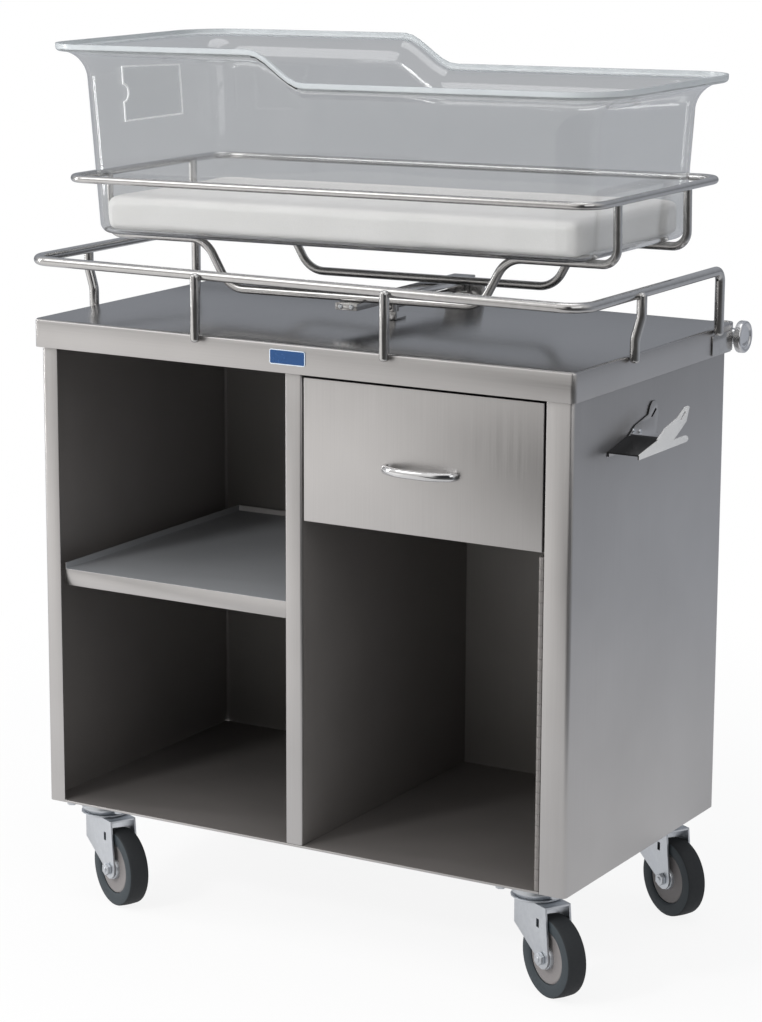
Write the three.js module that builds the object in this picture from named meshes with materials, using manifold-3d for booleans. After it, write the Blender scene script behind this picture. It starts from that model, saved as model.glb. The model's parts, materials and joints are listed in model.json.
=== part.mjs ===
// Hospital bassinet: a stainless cabinet on four casters, with a drawer, a shelf and open bays,
// a guard rail round its top, and a tilting wire carrier that holds a clear basket and a mattress.
// Millimetres, +Z up, X along the front, +Y to the rear, floor at Z = 0.
import * as THREE from 'three';
import { mergeVertices } from 'three/addons/utils/BufferGeometryUtils.js';
import Module from 'manifold-3d';

const wasm = await Module();
wasm.setup();

// Fits
const FIT = 0.3;
const SHEET = 1.5;
const PLATE = 2.5;

// Cabinet body
const BODY_WIDTH = 775;
const BODY_DEPTH = 434;
const BODY_HEIGHT = 653;
const BEND_RADIUS = 6;
const LEFT_FLANGE = 25;
const RIGHT_FLANGE = 36;
const REAR_FLANGE = 20;
const FLOOR_SHEET = 3;
const DIVIDER_WIDTH = 25;
const DIVIDER_X = -2;
const DIVIDER_BEND = 3;

// Cabinet top
const TOP_OVERHANG_X = 5.5;
const TOP_OVERHANG_Y = 8;
const TOP_LENGTH = BODY_WIDTH + 2 * TOP_OVERHANG_X;
const TOP_DEPTH = BODY_DEPTH + 2 * TOP_OVERHANG_Y;
const APRON_HEIGHT = 37.5;
const TOP_BEND = 4;
const TOP_CORNER = 7;

// Shelf in the left bay
const SHELF_HEIGHT = 320;
const SHELF_SETBACK = 8;
const SHELF_LIP = 22;
const SHELF_UPTURN = 8;
const SHELF_PLAY = 1.5;
const SUPPORT_LEG = 15;

// Drawer
const DRAWER_FRONT_HEIGHT = 182;
const DRAWER_REVEAL = 3;
const DRAWER_TOP_GAP = 4;
const DRAWER_RETURN = 15;
const DRAWER_BOX_DEPTH = 385;
const DRAWER_BOX_HEIGHT = 120;
const DRAWER_BOX_RISE = 18;
const RUNNER_DEPTH = 12;
const RUNNER_HEIGHT = 36;
const RUNNER_LENGTH = 400;
const SLIDE_HEIGHT = 18;
const HANDLE_SPAN = 106;
const HANDLE_REACH = 20;
const HANDLE_DROP = 11;
const HANDLE_HEIGHT = 11;
const HANDLE_THICK = 7;
const HANDLE_CROWN = 52;
const HANDLE_NECK = 7;
const HANDLE_BEND = 60;
const HANDLE_NECK_BEND = 8;

// Door hinge strip on the right jamb
const HINGE_END_GAP = 6;
const HINGE_RADIUS = 4;
const HINGE_PIN_RADIUS = 1.6;
const HINGE_LEAF = 18;
const HINGE_PITCH = 14;

// Guard rail
const GUARD_ROD = 12.7;
const GUARD_HEIGHT = 75;
const GUARD_POST_OFFSET = 8;
const GUARD_KNEE_LOW = 20;
const GUARD_KNEE_HIGH = 48;
const GUARD_CORNER = 32;
const GUARD_REAR_BEND = 14;
const GUARD_REAR_INSET = 60;
const GUARD_POST_SPAN = 274;
const GUARD_SIDE_POST_Y = -80;
const GUARD_FOOT_DROP = 9;

// Accessory-rod socket and its clamp knob at the rear right corner
const SOCKET_RADIUS = 15;
const SOCKET_BORE = 11;
const SOCKET_HEIGHT = 34;
const SOCKET_INSET = 24;
const SOCKET_BRACKET_LENGTH = 66;
const SOCKET_BRACKET_HEIGHT = 26;
const KNOB_RADIUS = 21;
const KNOB_THICK = 10;
const KNOB_DISH = 15;
const KNOB_BACK = 19.5;
const KNOB_NECK_RADIUS = 10.5;
const KNOB_NECK = 10.2;
const KNOB_STUD_RADIUS = 4;
const KNOB_EDGE = 2;

// Accessory bracket on the right side panel: two flanges with slotted ears and a sloping front web
const BRACKET_FRONT = 92;
const BRACKET_DROP = 118;
const BRACKET_REACH = 42;
const BRACKET_SHEET = 2;
const BRACKET_FINGER = 141;
const BRACKET_NOTCH = 99;
const BRACKET_HEIGHT = 45;
const BRACKET_NOSE = 6;
const BRACKET_WEB = 62;
const BRACKET_SLOT = 5;

// Clear basket
const BASKET_WALL = 4;
const BASKET_RIM_LENGTH = 822;
const BASKET_RIM_WIDTH = 390;
const BASKET_END_FLARE = 43;
const BASKET_SIDE_FLARE = 30;
const BASKET_END_DRAFT = 9;
const BASKET_SIDE_DRAFT = 7;
const BASKET_WALL_LENGTH = BASKET_RIM_LENGTH - 2 * BASKET_END_FLARE;
const BASKET_WALL_WIDTH = BASKET_RIM_WIDTH - 2 * BASKET_SIDE_FLARE;
const BASKET_BASE_LENGTH = BASKET_WALL_LENGTH - 2 * BASKET_END_DRAFT;
const BASKET_BASE_WIDTH = BASKET_WALL_WIDTH - 2 * BASKET_SIDE_DRAFT;
const BASKET_CORNER = 38;
const BASKET_EDGE = 14;
const BASKET_LOW = 207;
const BASKET_STEP = 39;
const BASKET_STEP_X = -47;
const BASKET_STEP_LENGTH = 78;
const BASKET_FLARE = 38;
const BASKET_LIP = 6;
const BASKET_SHIFT = -4;
const CARD_LENGTH = 136;
const CARD_HEIGHT = 76;
const CARD_SHEET = 1.6;
const CARD_NOTCH = 11;
const CARD_DROP = 26;

// Tilting basket carrier, drawn from its pivot
const CARRIER_X = 9;
const CARRIER_Y = 7;
const CARRIER_TILT = 0.9;
const PIVOT_HEIGHT = 18;
const RING_ROD = 10;
const RING_END_PLAY = 15;
const RING_SIDE_PLAY = 16;
const RING_HALF_LENGTH = BASKET_WALL_LENGTH / 2 + RING_END_PLAY;
const RING_HALF_WIDTH = BASKET_WALL_WIDTH / 2 + RING_SIDE_PLAY;
const RING_CORNER = 32;
const RING_HEIGHT = 165;
const CARRIER_ROD = 11;
const ROD_SPACING = 198;
const REST_HEIGHT = 86;
const LOW_HEIGHT = 24;
const LOW_HALF_SPAN = 203;
const LOW_SLOPE = 60;
const ROD_BEND = 38;
const LEG_BEND = 20;
const CHANNEL_WIDTH = 32;
const CHANNEL_DEPTH = 9;
const CHANNEL_SHEET = 2;
const CHANNEL_OVERHANG = 10;
const LUG_WIDTH = 14;
const LUG_THICK = 4;
const PIN_RADIUS = 4;
const PIN_RUN = 1;
const STAND_WIDTH = 14;
const STAND_FOOT = 26;
const REAR_STAND_WIDTH = 57;
const REAR_STAND_HEIGHT = 29;
const REAR_STAND_INSET = 19;

// Mattress
const MATTRESS_END_PLAY = 11;
const MATTRESS_SIDE_PLAY = 11;
const MATTRESS_LENGTH = BASKET_BASE_LENGTH - 2 * MATTRESS_END_PLAY;
const MATTRESS_WIDTH = BASKET_BASE_WIDTH - 2 * MATTRESS_SIDE_PLAY;
const MATTRESS_THICK = 50;
const MATTRESS_CROWN = 5;
const MATTRESS_DRAW = 4;
const MATTRESS_CORNER = 30;
const MATTRESS_EDGE = 15;

// Casters
const WHEEL_RADIUS = 52;
const WHEEL_WIDTH = 28;
const CASTER_HEIGHT = 137;
const CASTER_INSET_X = 61;
const CASTER_INSET_Y = 44;
const CASTER_TRAIL = 40;
const CASTER_PLATE_LENGTH = 96;
const CASTER_PLATE_WIDTH = 70;
const CASTER_PLATE_SHEET = 3;
const RACE_RADIUS = 33;
const RACE_CUP = 12;
const RACE_DISC = 3;
const KING_RADIUS = 9;
const FORK_SHEET = 2.6;
const FORK_TOP_BACK = 22;
const FORK_TOP_FRONT = 46;
const FORK_BOSS = 14;
const FORK_SIDE_CLEAR = 2.4;
const AXLE_RADIUS = 4;
const AXLE_RUN = 0.4;
const NUT_RADIUS = 8.5;
const NUT_THICK = 6;
const HUB_RADIUS = 34;
const HUB_BOSS = 11;
const HUB_RECESS = 3;
const TREAD_ROUND = 2;
const TREAD_CROWN = 0.6;
const TYRE_LIP = 2;
const PLATE_CORNER = 6;
const CUP_ROUND = 4;
const FORK_BACK_DROP = 37;
const FORK_SLOT_X = 30;
const FORK_SLOT_WIDTH = 6;
const FORK_SLOT_TOP = 18;
const FORK_SLOT_LENGTH = 11;
const KING_DROP = 3;
const PLATE_BOLT_X = 38;
const PLATE_BOLT_Y = 25;
const PLATE_NUT_RADIUS = 6.5;
const PLATE_NUT_THICK = 5;
const CASTER_TURN = { front_left: -26, front_right: -28.5, rear_left: -27, rear_right: -28 };

// Levels and faces that several pieces share
const BASE_Z = CASTER_HEIGHT;
const TOP_Z = BASE_Z + BODY_HEIGHT;
const LEFT_X = -BODY_WIDTH / 2;
const RIGHT_X = BODY_WIDTH / 2;
const FRONT_Y = -BODY_DEPTH / 2;
const REAR_Y = BODY_DEPTH / 2;
const PANEL_TOP = TOP_Z - SHEET - FIT;
const FLOOR_TOP = BASE_Z + FLOOR_SHEET;
const BACK_FACE = REAR_Y - 2 * SHEET - FIT;
const DIVIDER_LEFT = DIVIDER_X - DIVIDER_WIDTH / 2;
const DIVIDER_RIGHT = DIVIDER_X + DIVIDER_WIDTH / 2;
const JAMB_X = RIGHT_X - RIGHT_FLANGE;

// Materials
const finish = (color, metalness, roughness, extra = {}) =>
  new THREE.MeshStandardMaterial({ color, metalness, roughness, ...extra });
const satinSteel = finish(0xc0bebe, 1, 0.42);
const polishedSteel = finish(0xc8c8ca, 1, 0.2);
const chrome = finish(0xd6d6d8, 1, 0.1);
const zinc = finish(0xc8cbd0, 1, 0.35);
const tyreRubber = finish(0x34383c, 0, 0.85);
const hubPlastic = finish(0xa09b9b, 0, 0.5);
const clearPlastic = finish(0xdfe6ea, 0, 0.08, { transparent: true, opacity: 0.35 });
const cardPlastic = finish(0xf2f4f5, 0, 0.2, { transparent: true, opacity: 0.6 });
const mattressVinyl = finish(0xe6e4e2, 0, 0.6);

// Solids: closed geometry to a boolean solid and back
function bare(geometry) {
  const copy = geometry.clone();
  copy.deleteAttribute('normal');
  copy.deleteAttribute('uv');
  return mergeVertices(copy, 1e-4);
}

function signedVolume(geometry) {
  const p = geometry.attributes.position;
  const index = geometry.index.array;
  const corner = [new THREE.Vector3(), new THREE.Vector3(), new THREE.Vector3()];
  let sum = 0;
  for (let i = 0; i < index.length; i += 3) {
    corner.forEach((v, k) => v.fromBufferAttribute(p, index[i + k]));
    sum += corner[0].dot(corner[1].clone().cross(corner[2]));
  }
  return sum / 6;
}

function outward(geometry) {
  const closed = bare(geometry);
  if (signedVolume(closed) < 0) {
    const index = closed.index.array;
    for (let i = 0; i < index.length; i += 3) [index[i], index[i + 1]] = [index[i + 1], index[i]];
  }
  return closed;
}

function solid(geometry) {
  const closed = outward(geometry);
  const vertProperties = new Float32Array(closed.attributes.position.array);
  const triVerts = new Uint32Array(closed.index.array);
  return new wasm.Manifold(new wasm.Mesh({ numProp: 3, vertProperties, triVerts }));
}

function surface(body) {
  const mesh = body.getMesh();
  const geometry = new THREE.BufferGeometry();
  geometry.setAttribute('position', new THREE.BufferAttribute(new Float32Array(mesh.vertProperties), 3));
  geometry.setIndex(new THREE.BufferAttribute(new Uint32Array(mesh.triVerts), 1));
  return geometry;
}

const join = (...pieces) => surface(pieces.map(solid).reduce((a, b) => a.add(b)));
const cut = (piece, ...tools) => surface(tools.map(solid).reduce((a, b) => a.subtract(b), solid(piece)));

// Shapes that many pieces are made from
function block(x0, x1, y0, y1, z0, z1) {
  const box = new THREE.BoxGeometry(x1 - x0, y1 - y0, z1 - z0);
  return box.translate((x0 + x1) / 2, (y0 + y1) / 2, (z0 + z1) / 2);
}

function outline(points) {
  return new THREE.Shape(points.map(([x, y]) => new THREE.Vector2(x, y)));
}

function raise(shape, z0, z1, curveSegments = 4) {
  const geometry = new THREE.ExtrudeGeometry(shape, { depth: z1 - z0, bevelEnabled: false, curveSegments });
  return geometry.translate(0, 0, z0);
}

// A profile drawn in X and Z, run along Y
function runAlongY(shape, y0, y1, curveSegments = 4) {
  return raise(shape, -y1, -y0, curveSegments).rotateX(Math.PI / 2);
}

// A profile drawn in Y and Z, run along X
function runAlongX(shape, x0, x1, curveSegments = 4) {
  return raise(shape, x0, x1, curveSegments).rotateX(Math.PI / 2).rotateZ(Math.PI / 2);
}

function roundedRect(length, width, radius) {
  const x = length / 2;
  const y = width / 2;
  const shape = new THREE.Shape();
  shape.moveTo(-x + radius, -y);
  shape.lineTo(x - radius, -y);
  shape.absarc(x - radius, -y + radius, radius, -Math.PI / 2, 0);
  shape.lineTo(x, y - radius);
  shape.absarc(x - radius, y - radius, radius, 0, Math.PI / 2);
  shape.lineTo(-x + radius, y);
  shape.absarc(-x + radius, y - radius, radius, Math.PI / 2, Math.PI);
  shape.lineTo(-x, -y + radius);
  shape.absarc(-x + radius, -y + radius, radius, Math.PI, 1.5 * Math.PI);
  return shape;
}

function turned(profile, segments) {
  return new THREE.LatheGeometry(profile.map(([r, h]) => new THREE.Vector2(r, h)), segments);
}

// Turned pieces start along Y: these lay the axis along Z or X
const turnedZ = (profile, segments) => turned(profile, segments).rotateX(Math.PI / 2);
const turnedX = (profile, segments) => turned(profile, segments).rotateZ(-Math.PI / 2);
const peg = (radius, h0, h1) => [[0, h0], [radius, h0], [radius, h1], [0, h1]];
const sleeve = (bore, radius, h0, h1) => [[bore, h0], [radius, h0], [radius, h1], [bore, h1], [bore, h0]];

// A rod bent at its corners, sampled only where it bends
class BentRod extends THREE.Curve {
  constructor(corners, radii, stepAngle = Math.PI / 10) {
    super();
    this.points = [];
    this.tangents = [];
    const nodes = corners.map((c) => new THREE.Vector3(...c));
    nodes.forEach((node, i) => {
      const before = i > 0 ? node.clone().sub(nodes[i - 1]).normalize() : null;
      const after = i < nodes.length - 1 ? nodes[i + 1].clone().sub(node).normalize() : null;
      if (!before || !after) {
        this.points.push(node);
        this.tangents.push(before ?? after);
        return;
      }
      const turn = before.angleTo(after);
      const radius = Array.isArray(radii) ? radii[i - 1] : radii;
      const start = node.clone().addScaledVector(before, -radius * Math.tan(turn / 2));
      const axis = before.clone().cross(after).normalize();
      const inward = axis.clone().cross(before);
      const centre = start.clone().addScaledVector(inward, radius);
      const steps = Math.max(1, Math.round(turn / stepAngle));
      for (let k = 0; k <= steps; k += 1) {
        const spin = new THREE.Quaternion().setFromAxisAngle(axis, (turn * k) / steps);
        const arm = inward.clone().multiplyScalar(-radius).applyQuaternion(spin);
        this.points.push(centre.clone().add(arm));
        this.tangents.push(before.clone().applyQuaternion(spin));
      }
    });
  }

  at(list, u) {
    return list[Math.round(u * (list.length - 1))].clone();
  }

  getPoint(u) {
    return this.at(this.points, u);
  }

  getPointAt(u) {
    return this.at(this.points, u);
  }

  getTangentAt(u) {
    return this.at(this.tangents, u);
  }
}

function bentRod(corners, radii, section, sides = 8) {
  const extrudePath = new BentRod(corners, radii);
  const steps = extrudePath.points.length - 1;
  const curveSegments = sides / 2;
  return new THREE.ExtrudeGeometry(section, { steps, extrudePath, bevelEnabled: false, curveSegments });
}

const round = (diameter) => new THREE.Shape().absarc(0, 0, diameter / 2, 0, 2 * Math.PI);

// Rings of equal length joined in order, with a fan over the first and the last
function loft(rings) {
  const count = rings[0].length;
  const middle = (ring) => ring.reduce((a, p) => a.add(p), new THREE.Vector3()).divideScalar(count);
  const points = [...rings.flat(), middle(rings[0]), middle(rings.at(-1))];
  const first = points.length - 2;
  const last = points.length - 1;
  const index = [];
  for (let k = 0; k < count; k += 1) {
    const next = (k + 1) % count;
    index.push(first, next, k);
    index.push(last, (rings.length - 1) * count + k, (rings.length - 1) * count + next);
    for (let i = 0; i < rings.length - 1; i += 1) {
      const a = i * count;
      const b = a + count;
      index.push(a + k, a + next, b + next, a + k, b + next, b + k);
    }
  }
  const geometry = new THREE.BufferGeometry().setFromPoints(points);
  geometry.setIndex(index);
  return outward(geometry);
}

// One ring of a rounded rectangle: corner arcs, and chosen places along its long sides
function planRing(length, width, corner, stops, height) {
  const a = length / 2 - corner;
  const b = width / 2 - corner;
  const ring = [];
  const arc = (cx, cy, from) => {
    for (let k = 0; k <= 4; k += 1) {
      const angle = from + (k * Math.PI) / 8;
      ring.push([cx + corner * Math.cos(angle), cy + corner * Math.sin(angle)]);
    }
  };
  arc(-a, -b, Math.PI);
  stops.forEach((x) => ring.push([x, -width / 2]));
  arc(a, -b, 1.5 * Math.PI);
  arc(a, b, 0);
  stops.toReversed().forEach((x) => ring.push([x, width / 2]));
  arc(-a, b, Math.PI / 2);
  return ring.map(([x, y]) => new THREE.Vector3(x, y, height(x, y)));
}

// Assembly
const bassinet = new THREE.Group();

function add(parent, name, geometry, material) {
  const mesh = new THREE.Mesh(outward(geometry), material);
  mesh.name = name;
  parent.add(mesh);
  return mesh;
}

function place(parent, x, y, z) {
  const group = new THREE.Group();
  group.position.set(x, y, z);
  parent.add(group);
  return group;
}

// Cabinet top: a pan with a rounded top bend and a plain apron
function cabinetTop() {
  const inset = 2 * TOP_BEND;
  const drawn = roundedRect(TOP_LENGTH - inset, TOP_DEPTH - inset, TOP_CORNER - TOP_BEND);
  const skin = new THREE.ExtrudeGeometry(drawn, {
    depth: APRON_HEIGHT,
    bevelThickness: TOP_BEND,
    bevelSize: TOP_BEND,
    bevelSegments: 3,
    curveSegments: 3,
  }).translate(0, 0, TOP_Z - TOP_BEND - APRON_HEIGHT);
  const hollow = roundedRect(TOP_LENGTH - 2 * SHEET, TOP_DEPTH - 2 * SHEET, TOP_CORNER - SHEET);
  const below = block(-TOP_LENGTH, TOP_LENGTH, -TOP_DEPTH, TOP_DEPTH, 0, TOP_Z - APRON_HEIGHT);
  return cut(skin, raise(hollow, 0, TOP_Z - SHEET, 3), below);
}

// Side panel: a sheet with a front flange and a rear flange, bent round two radii; side is -1 or 1
function sidePanel(side, flange) {
  const x = (inner) => side * (BODY_WIDTH / 2 - inner);
  const bends = [0, 1, 2, 3, 4].map((k) => (k * Math.PI) / 8);
  const arc = (y, toward, radius) => bends.map((t) => [
    x(BEND_RADIUS - radius * Math.sin(t)),
    y + toward * (BEND_RADIUS - radius * Math.cos(t)),
  ]);
  const inside = BEND_RADIUS - SHEET;
  const outer = [[x(flange), FRONT_Y], ...arc(FRONT_Y, 1, BEND_RADIUS)];
  outer.push(...arc(REAR_Y, -1, BEND_RADIUS).reverse(), [x(REAR_FLANGE), REAR_Y]);
  const inner = [[x(REAR_FLANGE), REAR_Y - SHEET], ...arc(REAR_Y, -1, inside)];
  inner.push(...arc(FRONT_Y, 1, inside).reverse(), [x(flange), FRONT_Y + SHEET]);
  return raise(outline([...outer, ...inner]), BASE_Z, PANEL_TOP);
}

function floorPanel() {
  const x0 = LEFT_X + SHEET + FIT;
  const x1 = RIGHT_X - SHEET - FIT;
  const y0 = FRONT_Y + BEND_RADIUS;
  const lip0 = LEFT_X + LEFT_FLANGE + FIT;
  const lip1 = JAMB_X - FIT;
  const points = [[x0, y0], [lip0, y0], [lip0, FRONT_Y], [lip1, FRONT_Y], [lip1, y0], [x1, y0]];
  const turn = REAR_Y - BEND_RADIUS;
  const rear = BACK_FACE - FIT;
  points.push([x1, turn], [x1 - BEND_RADIUS, rear], [x0 + BEND_RADIUS, rear], [x0, turn]);
  return raise(outline(points), BASE_Z, FLOOR_TOP);
}

function centreDivider() {
  const half = DIVIDER_WIDTH / 2;
  const rear = BACK_FACE - FIT;
  const r = DIVIDER_BEND;
  const shape = new THREE.Shape();
  shape.moveTo(DIVIDER_X - half, rear);
  shape.lineTo(DIVIDER_X - half, FRONT_Y + r);
  shape.absarc(DIVIDER_X - half + r, FRONT_Y + r, r, Math.PI, 1.5 * Math.PI);
  shape.lineTo(DIVIDER_X + half - r, FRONT_Y);
  shape.absarc(DIVIDER_X + half - r, FRONT_Y + r, r, 1.5 * Math.PI, 2 * Math.PI);
  shape.lineTo(DIVIDER_X + half, rear);
  shape.lineTo(DIVIDER_X + half - SHEET, rear);
  shape.lineTo(DIVIDER_X + half - SHEET, FRONT_Y + r);
  shape.lineTo(DIVIDER_X - half + SHEET, FRONT_Y + r);
  shape.lineTo(DIVIDER_X - half + SHEET, rear);
  return raise(shape, FLOOR_TOP + FIT, PANEL_TOP, 3);
}

const backPanel = block(
  LEFT_X + BEND_RADIUS + FIT,
  RIGHT_X - BEND_RADIUS - FIT,
  BACK_FACE,
  BACK_FACE + SHEET,
  BASE_Z,
  PANEL_TOP,
);

add(bassinet, 'cabinet_top', cabinetTop(), satinSteel);
add(bassinet, 'left_side_panel', sidePanel(-1, LEFT_FLANGE), satinSteel);
add(bassinet, 'right_side_panel', sidePanel(1, RIGHT_FLANGE), satinSteel);
add(bassinet, 'back_panel', backPanel, satinSteel);
add(bassinet, 'floor_panel', floorPanel(), satinSteel);
add(bassinet, 'centre_divider', centreDivider(), satinSteel);

// Shelf: a tray that passes the bay's opening, with a turned-down front lip and turned-up sides and rear
const shelfLeft = LEFT_X + LEFT_FLANGE + SHELF_PLAY;
const shelfRight = DIVIDER_LEFT - SHELF_PLAY;
const shelfFront = FRONT_Y + SHELF_SETBACK;
const shelfRear = REAR_Y - BEND_RADIUS;
const shelfTop = BASE_Z + SHELF_HEIGHT;
const shelfUnder = shelfTop - SHEET;

function shelf() {
  const lip = shelfTop - SHELF_LIP;
  const turnedUp = shelfTop + SHELF_UPTURN;
  const whole = block(shelfLeft, shelfRight, shelfFront, shelfRear, lip, turnedUp);
  const tray = block(
    shelfLeft + SHEET,
    shelfRight - SHEET,
    shelfFront - SHEET,
    shelfRear - SHEET,
    shelfTop,
    turnedUp + SHEET,
  );
  const below = block(
    shelfLeft - SHEET,
    shelfRight + SHEET,
    shelfFront + SHEET,
    shelfRear + SHEET,
    lip - SHEET,
    shelfUnder,
  );
  return cut(whole, tray, below);
}

// Angle supports reach from the walls to under the shelf's edges
function shelfSupport(wall, toward, edge) {
  const z = shelfUnder - FIT;
  const near = wall + toward * SHEET;
  const far = edge + toward * SUPPORT_LEG;
  const points = [[wall, z], [far, z], [far, z - SHEET], [near, z - SHEET], [near, z - SUPPORT_LEG]];
  const y0 = shelfFront + SHEET + FIT;
  return runAlongY(outline([...points, [wall, z - SUPPORT_LEG]]), y0, shelfRear);
}

add(bassinet, 'shelf', shelf(), satinSteel);
add(bassinet, 'shelf_support_left', shelfSupport(LEFT_X + SHEET + FIT, 1, shelfLeft), satinSteel);
add(bassinet, 'shelf_support_right', shelfSupport(DIVIDER_LEFT - FIT, -1, shelfRight), satinSteel);

// Drawer: a folded front with returns, an open box, a bow pull and a slide bar each side
const drawerLeft = DIVIDER_RIGHT + DRAWER_REVEAL;
const drawerRight = JAMB_X - DRAWER_REVEAL;
const drawerTop = TOP_Z - APRON_HEIGHT - DRAWER_TOP_GAP;
const drawerBottom = drawerTop - DRAWER_FRONT_HEIGHT;
const boxLeft = DIVIDER_RIGHT + RUNNER_DEPTH + DRAWER_REVEAL;
const boxRight = JAMB_X - RUNNER_DEPTH - DRAWER_REVEAL;
const boxFront = FRONT_Y + DRAWER_RETURN + FIT;
const boxRear = boxFront + DRAWER_BOX_DEPTH;
const boxBottom = drawerBottom + DRAWER_BOX_RISE;
const boxTop = boxBottom + DRAWER_BOX_HEIGHT;
const slideMiddle = boxBottom + DRAWER_BOX_HEIGHT / 2;

function drawerFront() {
  const body = block(drawerLeft, drawerRight, FRONT_Y, FRONT_Y + DRAWER_RETURN, drawerBottom, drawerTop);
  const hollow = block(
    drawerLeft + SHEET,
    drawerRight - SHEET,
    FRONT_Y + SHEET,
    FRONT_Y + 2 * DRAWER_RETURN,
    drawerBottom + SHEET,
    drawerTop - SHEET,
  );
  return cut(body, hollow);
}

// The box front lies inside the folded front and closes against its back edge
function drawerBox() {
  const body = block(boxLeft, boxRight, boxFront, boxRear, boxBottom, boxTop);
  const hollow = block(
    boxLeft + SHEET,
    boxRight - SHEET,
    boxFront + SHEET,
    boxRear - SHEET,
    boxBottom + SHEET,
    boxTop + SHEET,
  );
  const tabs = [drawerBottom + SHEET + FIT, drawerTop - SHEET - FIT];
  const x0 = drawerLeft + SHEET + FIT;
  const x1 = drawerRight - SHEET - FIT;
  const plate = block(x0, x1, boxFront - DRAWER_RETURN / 2, boxFront + SHEET, tabs[0], tabs[1]);
  const inset = block(
    x0 + SHEET,
    x1 - SHEET,
    boxFront - DRAWER_RETURN,
    boxFront,
    tabs[0] + SHEET,
    tabs[1] - SHEET,
  );
  return join(cut(body, hollow), cut(plate, inset));
}

function drawerHandle() {
  const y = FRONT_Y - FIT;
  const out = y - HANDLE_REACH;
  const half = HANDLE_SPAN / 2;
  const section = new THREE.Shape().absellipse(0, 0, HANDLE_HEIGHT / 2, HANDLE_THICK / 2, 0, 2 * Math.PI);
  const foot = half - HANDLE_THICK / 2;
  const shoulder = HANDLE_CROWN / 2;
  const neck = y - HANDLE_NECK;
  const right = [[shoulder, out, 0], [foot, neck, 0], [foot, y, 0]];
  const left = right.map(([x, h, z]) => [-x, h, z]).reverse();
  const bends = [HANDLE_BEND, HANDLE_NECK_BEND];
  return bentRod([...left, ...right], [...bends.toReversed(), ...bends], section, 12);
}

// Runner: a channel open toward the drawer; the right one reaches to the side panel past the jamb
function runner(wall, toward, web) {
  const half = RUNNER_HEIGHT / 2;
  const back = web + toward * SHEET;
  const open = web + toward * RUNNER_DEPTH;
  const points = [[wall, half], [open, half], [open, half - SHEET], [back, half - SHEET]];
  points.push([back, -half + SHEET], [open, -half + SHEET], [open, -half], [wall, -half]);
  return runAlongY(outline(points), boxFront + SHEET + FIT, boxFront + RUNNER_LENGTH);
}

const drawer = place(bassinet, 0, 0, 0);
add(drawer, 'drawer_front', drawerFront(), satinSteel);
add(drawer, 'drawer_box', drawerBox(), satinSteel);
const handle = drawerHandle();
handle.translate((drawerLeft + drawerRight) / 2, 0, (drawerBottom + drawerTop) / 2 - HANDLE_DROP);
add(drawer, 'drawer_handle', handle, chrome);
const slideRise = [slideMiddle - SLIDE_HEIGHT / 2, slideMiddle + SLIDE_HEIGHT / 2];
const slideSpan = [boxFront + SHEET + FIT, boxRear, ...slideRise];
const runnerLeftWeb = DIVIDER_RIGHT + FIT;
const runnerRightWeb = JAMB_X - FIT;
const slideLeftX = [runnerLeftWeb + SHEET + FIT, boxLeft - FIT];
const slideRightX = [boxRight + FIT, runnerRightWeb - SHEET - FIT];
add(drawer, 'drawer_slide_left', block(...slideLeftX, ...slideSpan), zinc);
add(drawer, 'drawer_slide_right', block(...slideRightX, ...slideSpan), zinc);
const runnerLeft = runner(runnerLeftWeb, 1, runnerLeftWeb).translate(0, 0, slideMiddle);
const runnerRight = runner(RIGHT_X - SHEET - FIT, -1, runnerRightWeb).translate(0, 0, slideMiddle);
add(bassinet, 'drawer_runner_left', runnerLeft, zinc);
add(bassinet, 'drawer_runner_right', runnerRight, zinc);

// Hinge strip: two leaves whose knuckles alternate on one pin; the free leaf lies folded into the bay
const hingeX = JAMB_X - HINGE_RADIUS - FIT;
const hingeY = FRONT_Y + HINGE_RADIUS;
const hingeBottom = FLOOR_TOP + FIT;
const knuckles = Math.floor((drawerBottom - HINGE_END_GAP - hingeBottom) / HINGE_PITCH);

function hingeLeaf(plate, keep) {
  const bore = HINGE_PIN_RADIUS / Math.cos(Math.PI / 6) + FIT / 2;
  const clears = [];
  for (let k = 0; k < knuckles; k += 1) {
    if (k % 2 !== keep) {
      const z = k * HINGE_PITCH;
      const reach = HINGE_RADIUS + FIT;
      clears.push(block(-reach, reach, -reach, reach, z - FIT / 2, z + HINGE_PITCH + FIT / 2));
    }
  }
  const length = knuckles * HINGE_PITCH;
  const barrel = turnedZ(peg(HINGE_RADIUS, 0, length), 8);
  const pinWay = turnedZ(peg(bore, -bore, length + bore), 6);
  const whole = solid(plate(length)).add(solid(barrel)).subtract(solid(pinWay));
  return surface(clears.map(solid).reduce((a, b) => a.subtract(b), whole));
}

const hinge = place(bassinet, hingeX, hingeY, hingeBottom);
const fixedPlate = (length) => block(0, HINGE_LEAF, HINGE_RADIUS - SHEET, HINGE_RADIUS, 0, length);
const freePlate = (length) => block(-HINGE_RADIUS, SHEET - HINGE_RADIUS, 0, HINGE_LEAF, 0, length);
add(hinge, 'hinge_fixed_leaf', hingeLeaf(fixedPlate, 0), polishedSteel);
add(hinge, 'hinge_free_leaf', hingeLeaf(freePlate, 1), polishedSteel);
add(hinge, 'hinge_pin', turnedZ(peg(HINGE_PIN_RADIUS, 0, knuckles * HINGE_PITCH), 6), polishedSteel);

// Guard rail: one bent rod on the front and both sides, turned down at the rear, and four posts
const guardRadius = GUARD_ROD / 2;
const guardZ = TOP_Z + GUARD_HEIGHT;
const footZ = TOP_Z - GUARD_FOOT_DROP;
const footX = TOP_LENGTH / 2 + guardRadius + FIT;
const footY = TOP_DEPTH / 2 + guardRadius + FIT;
const railFront = -footY + GUARD_POST_OFFSET;
const railRear = TOP_DEPTH / 2 - GUARD_REAR_INSET;

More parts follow.
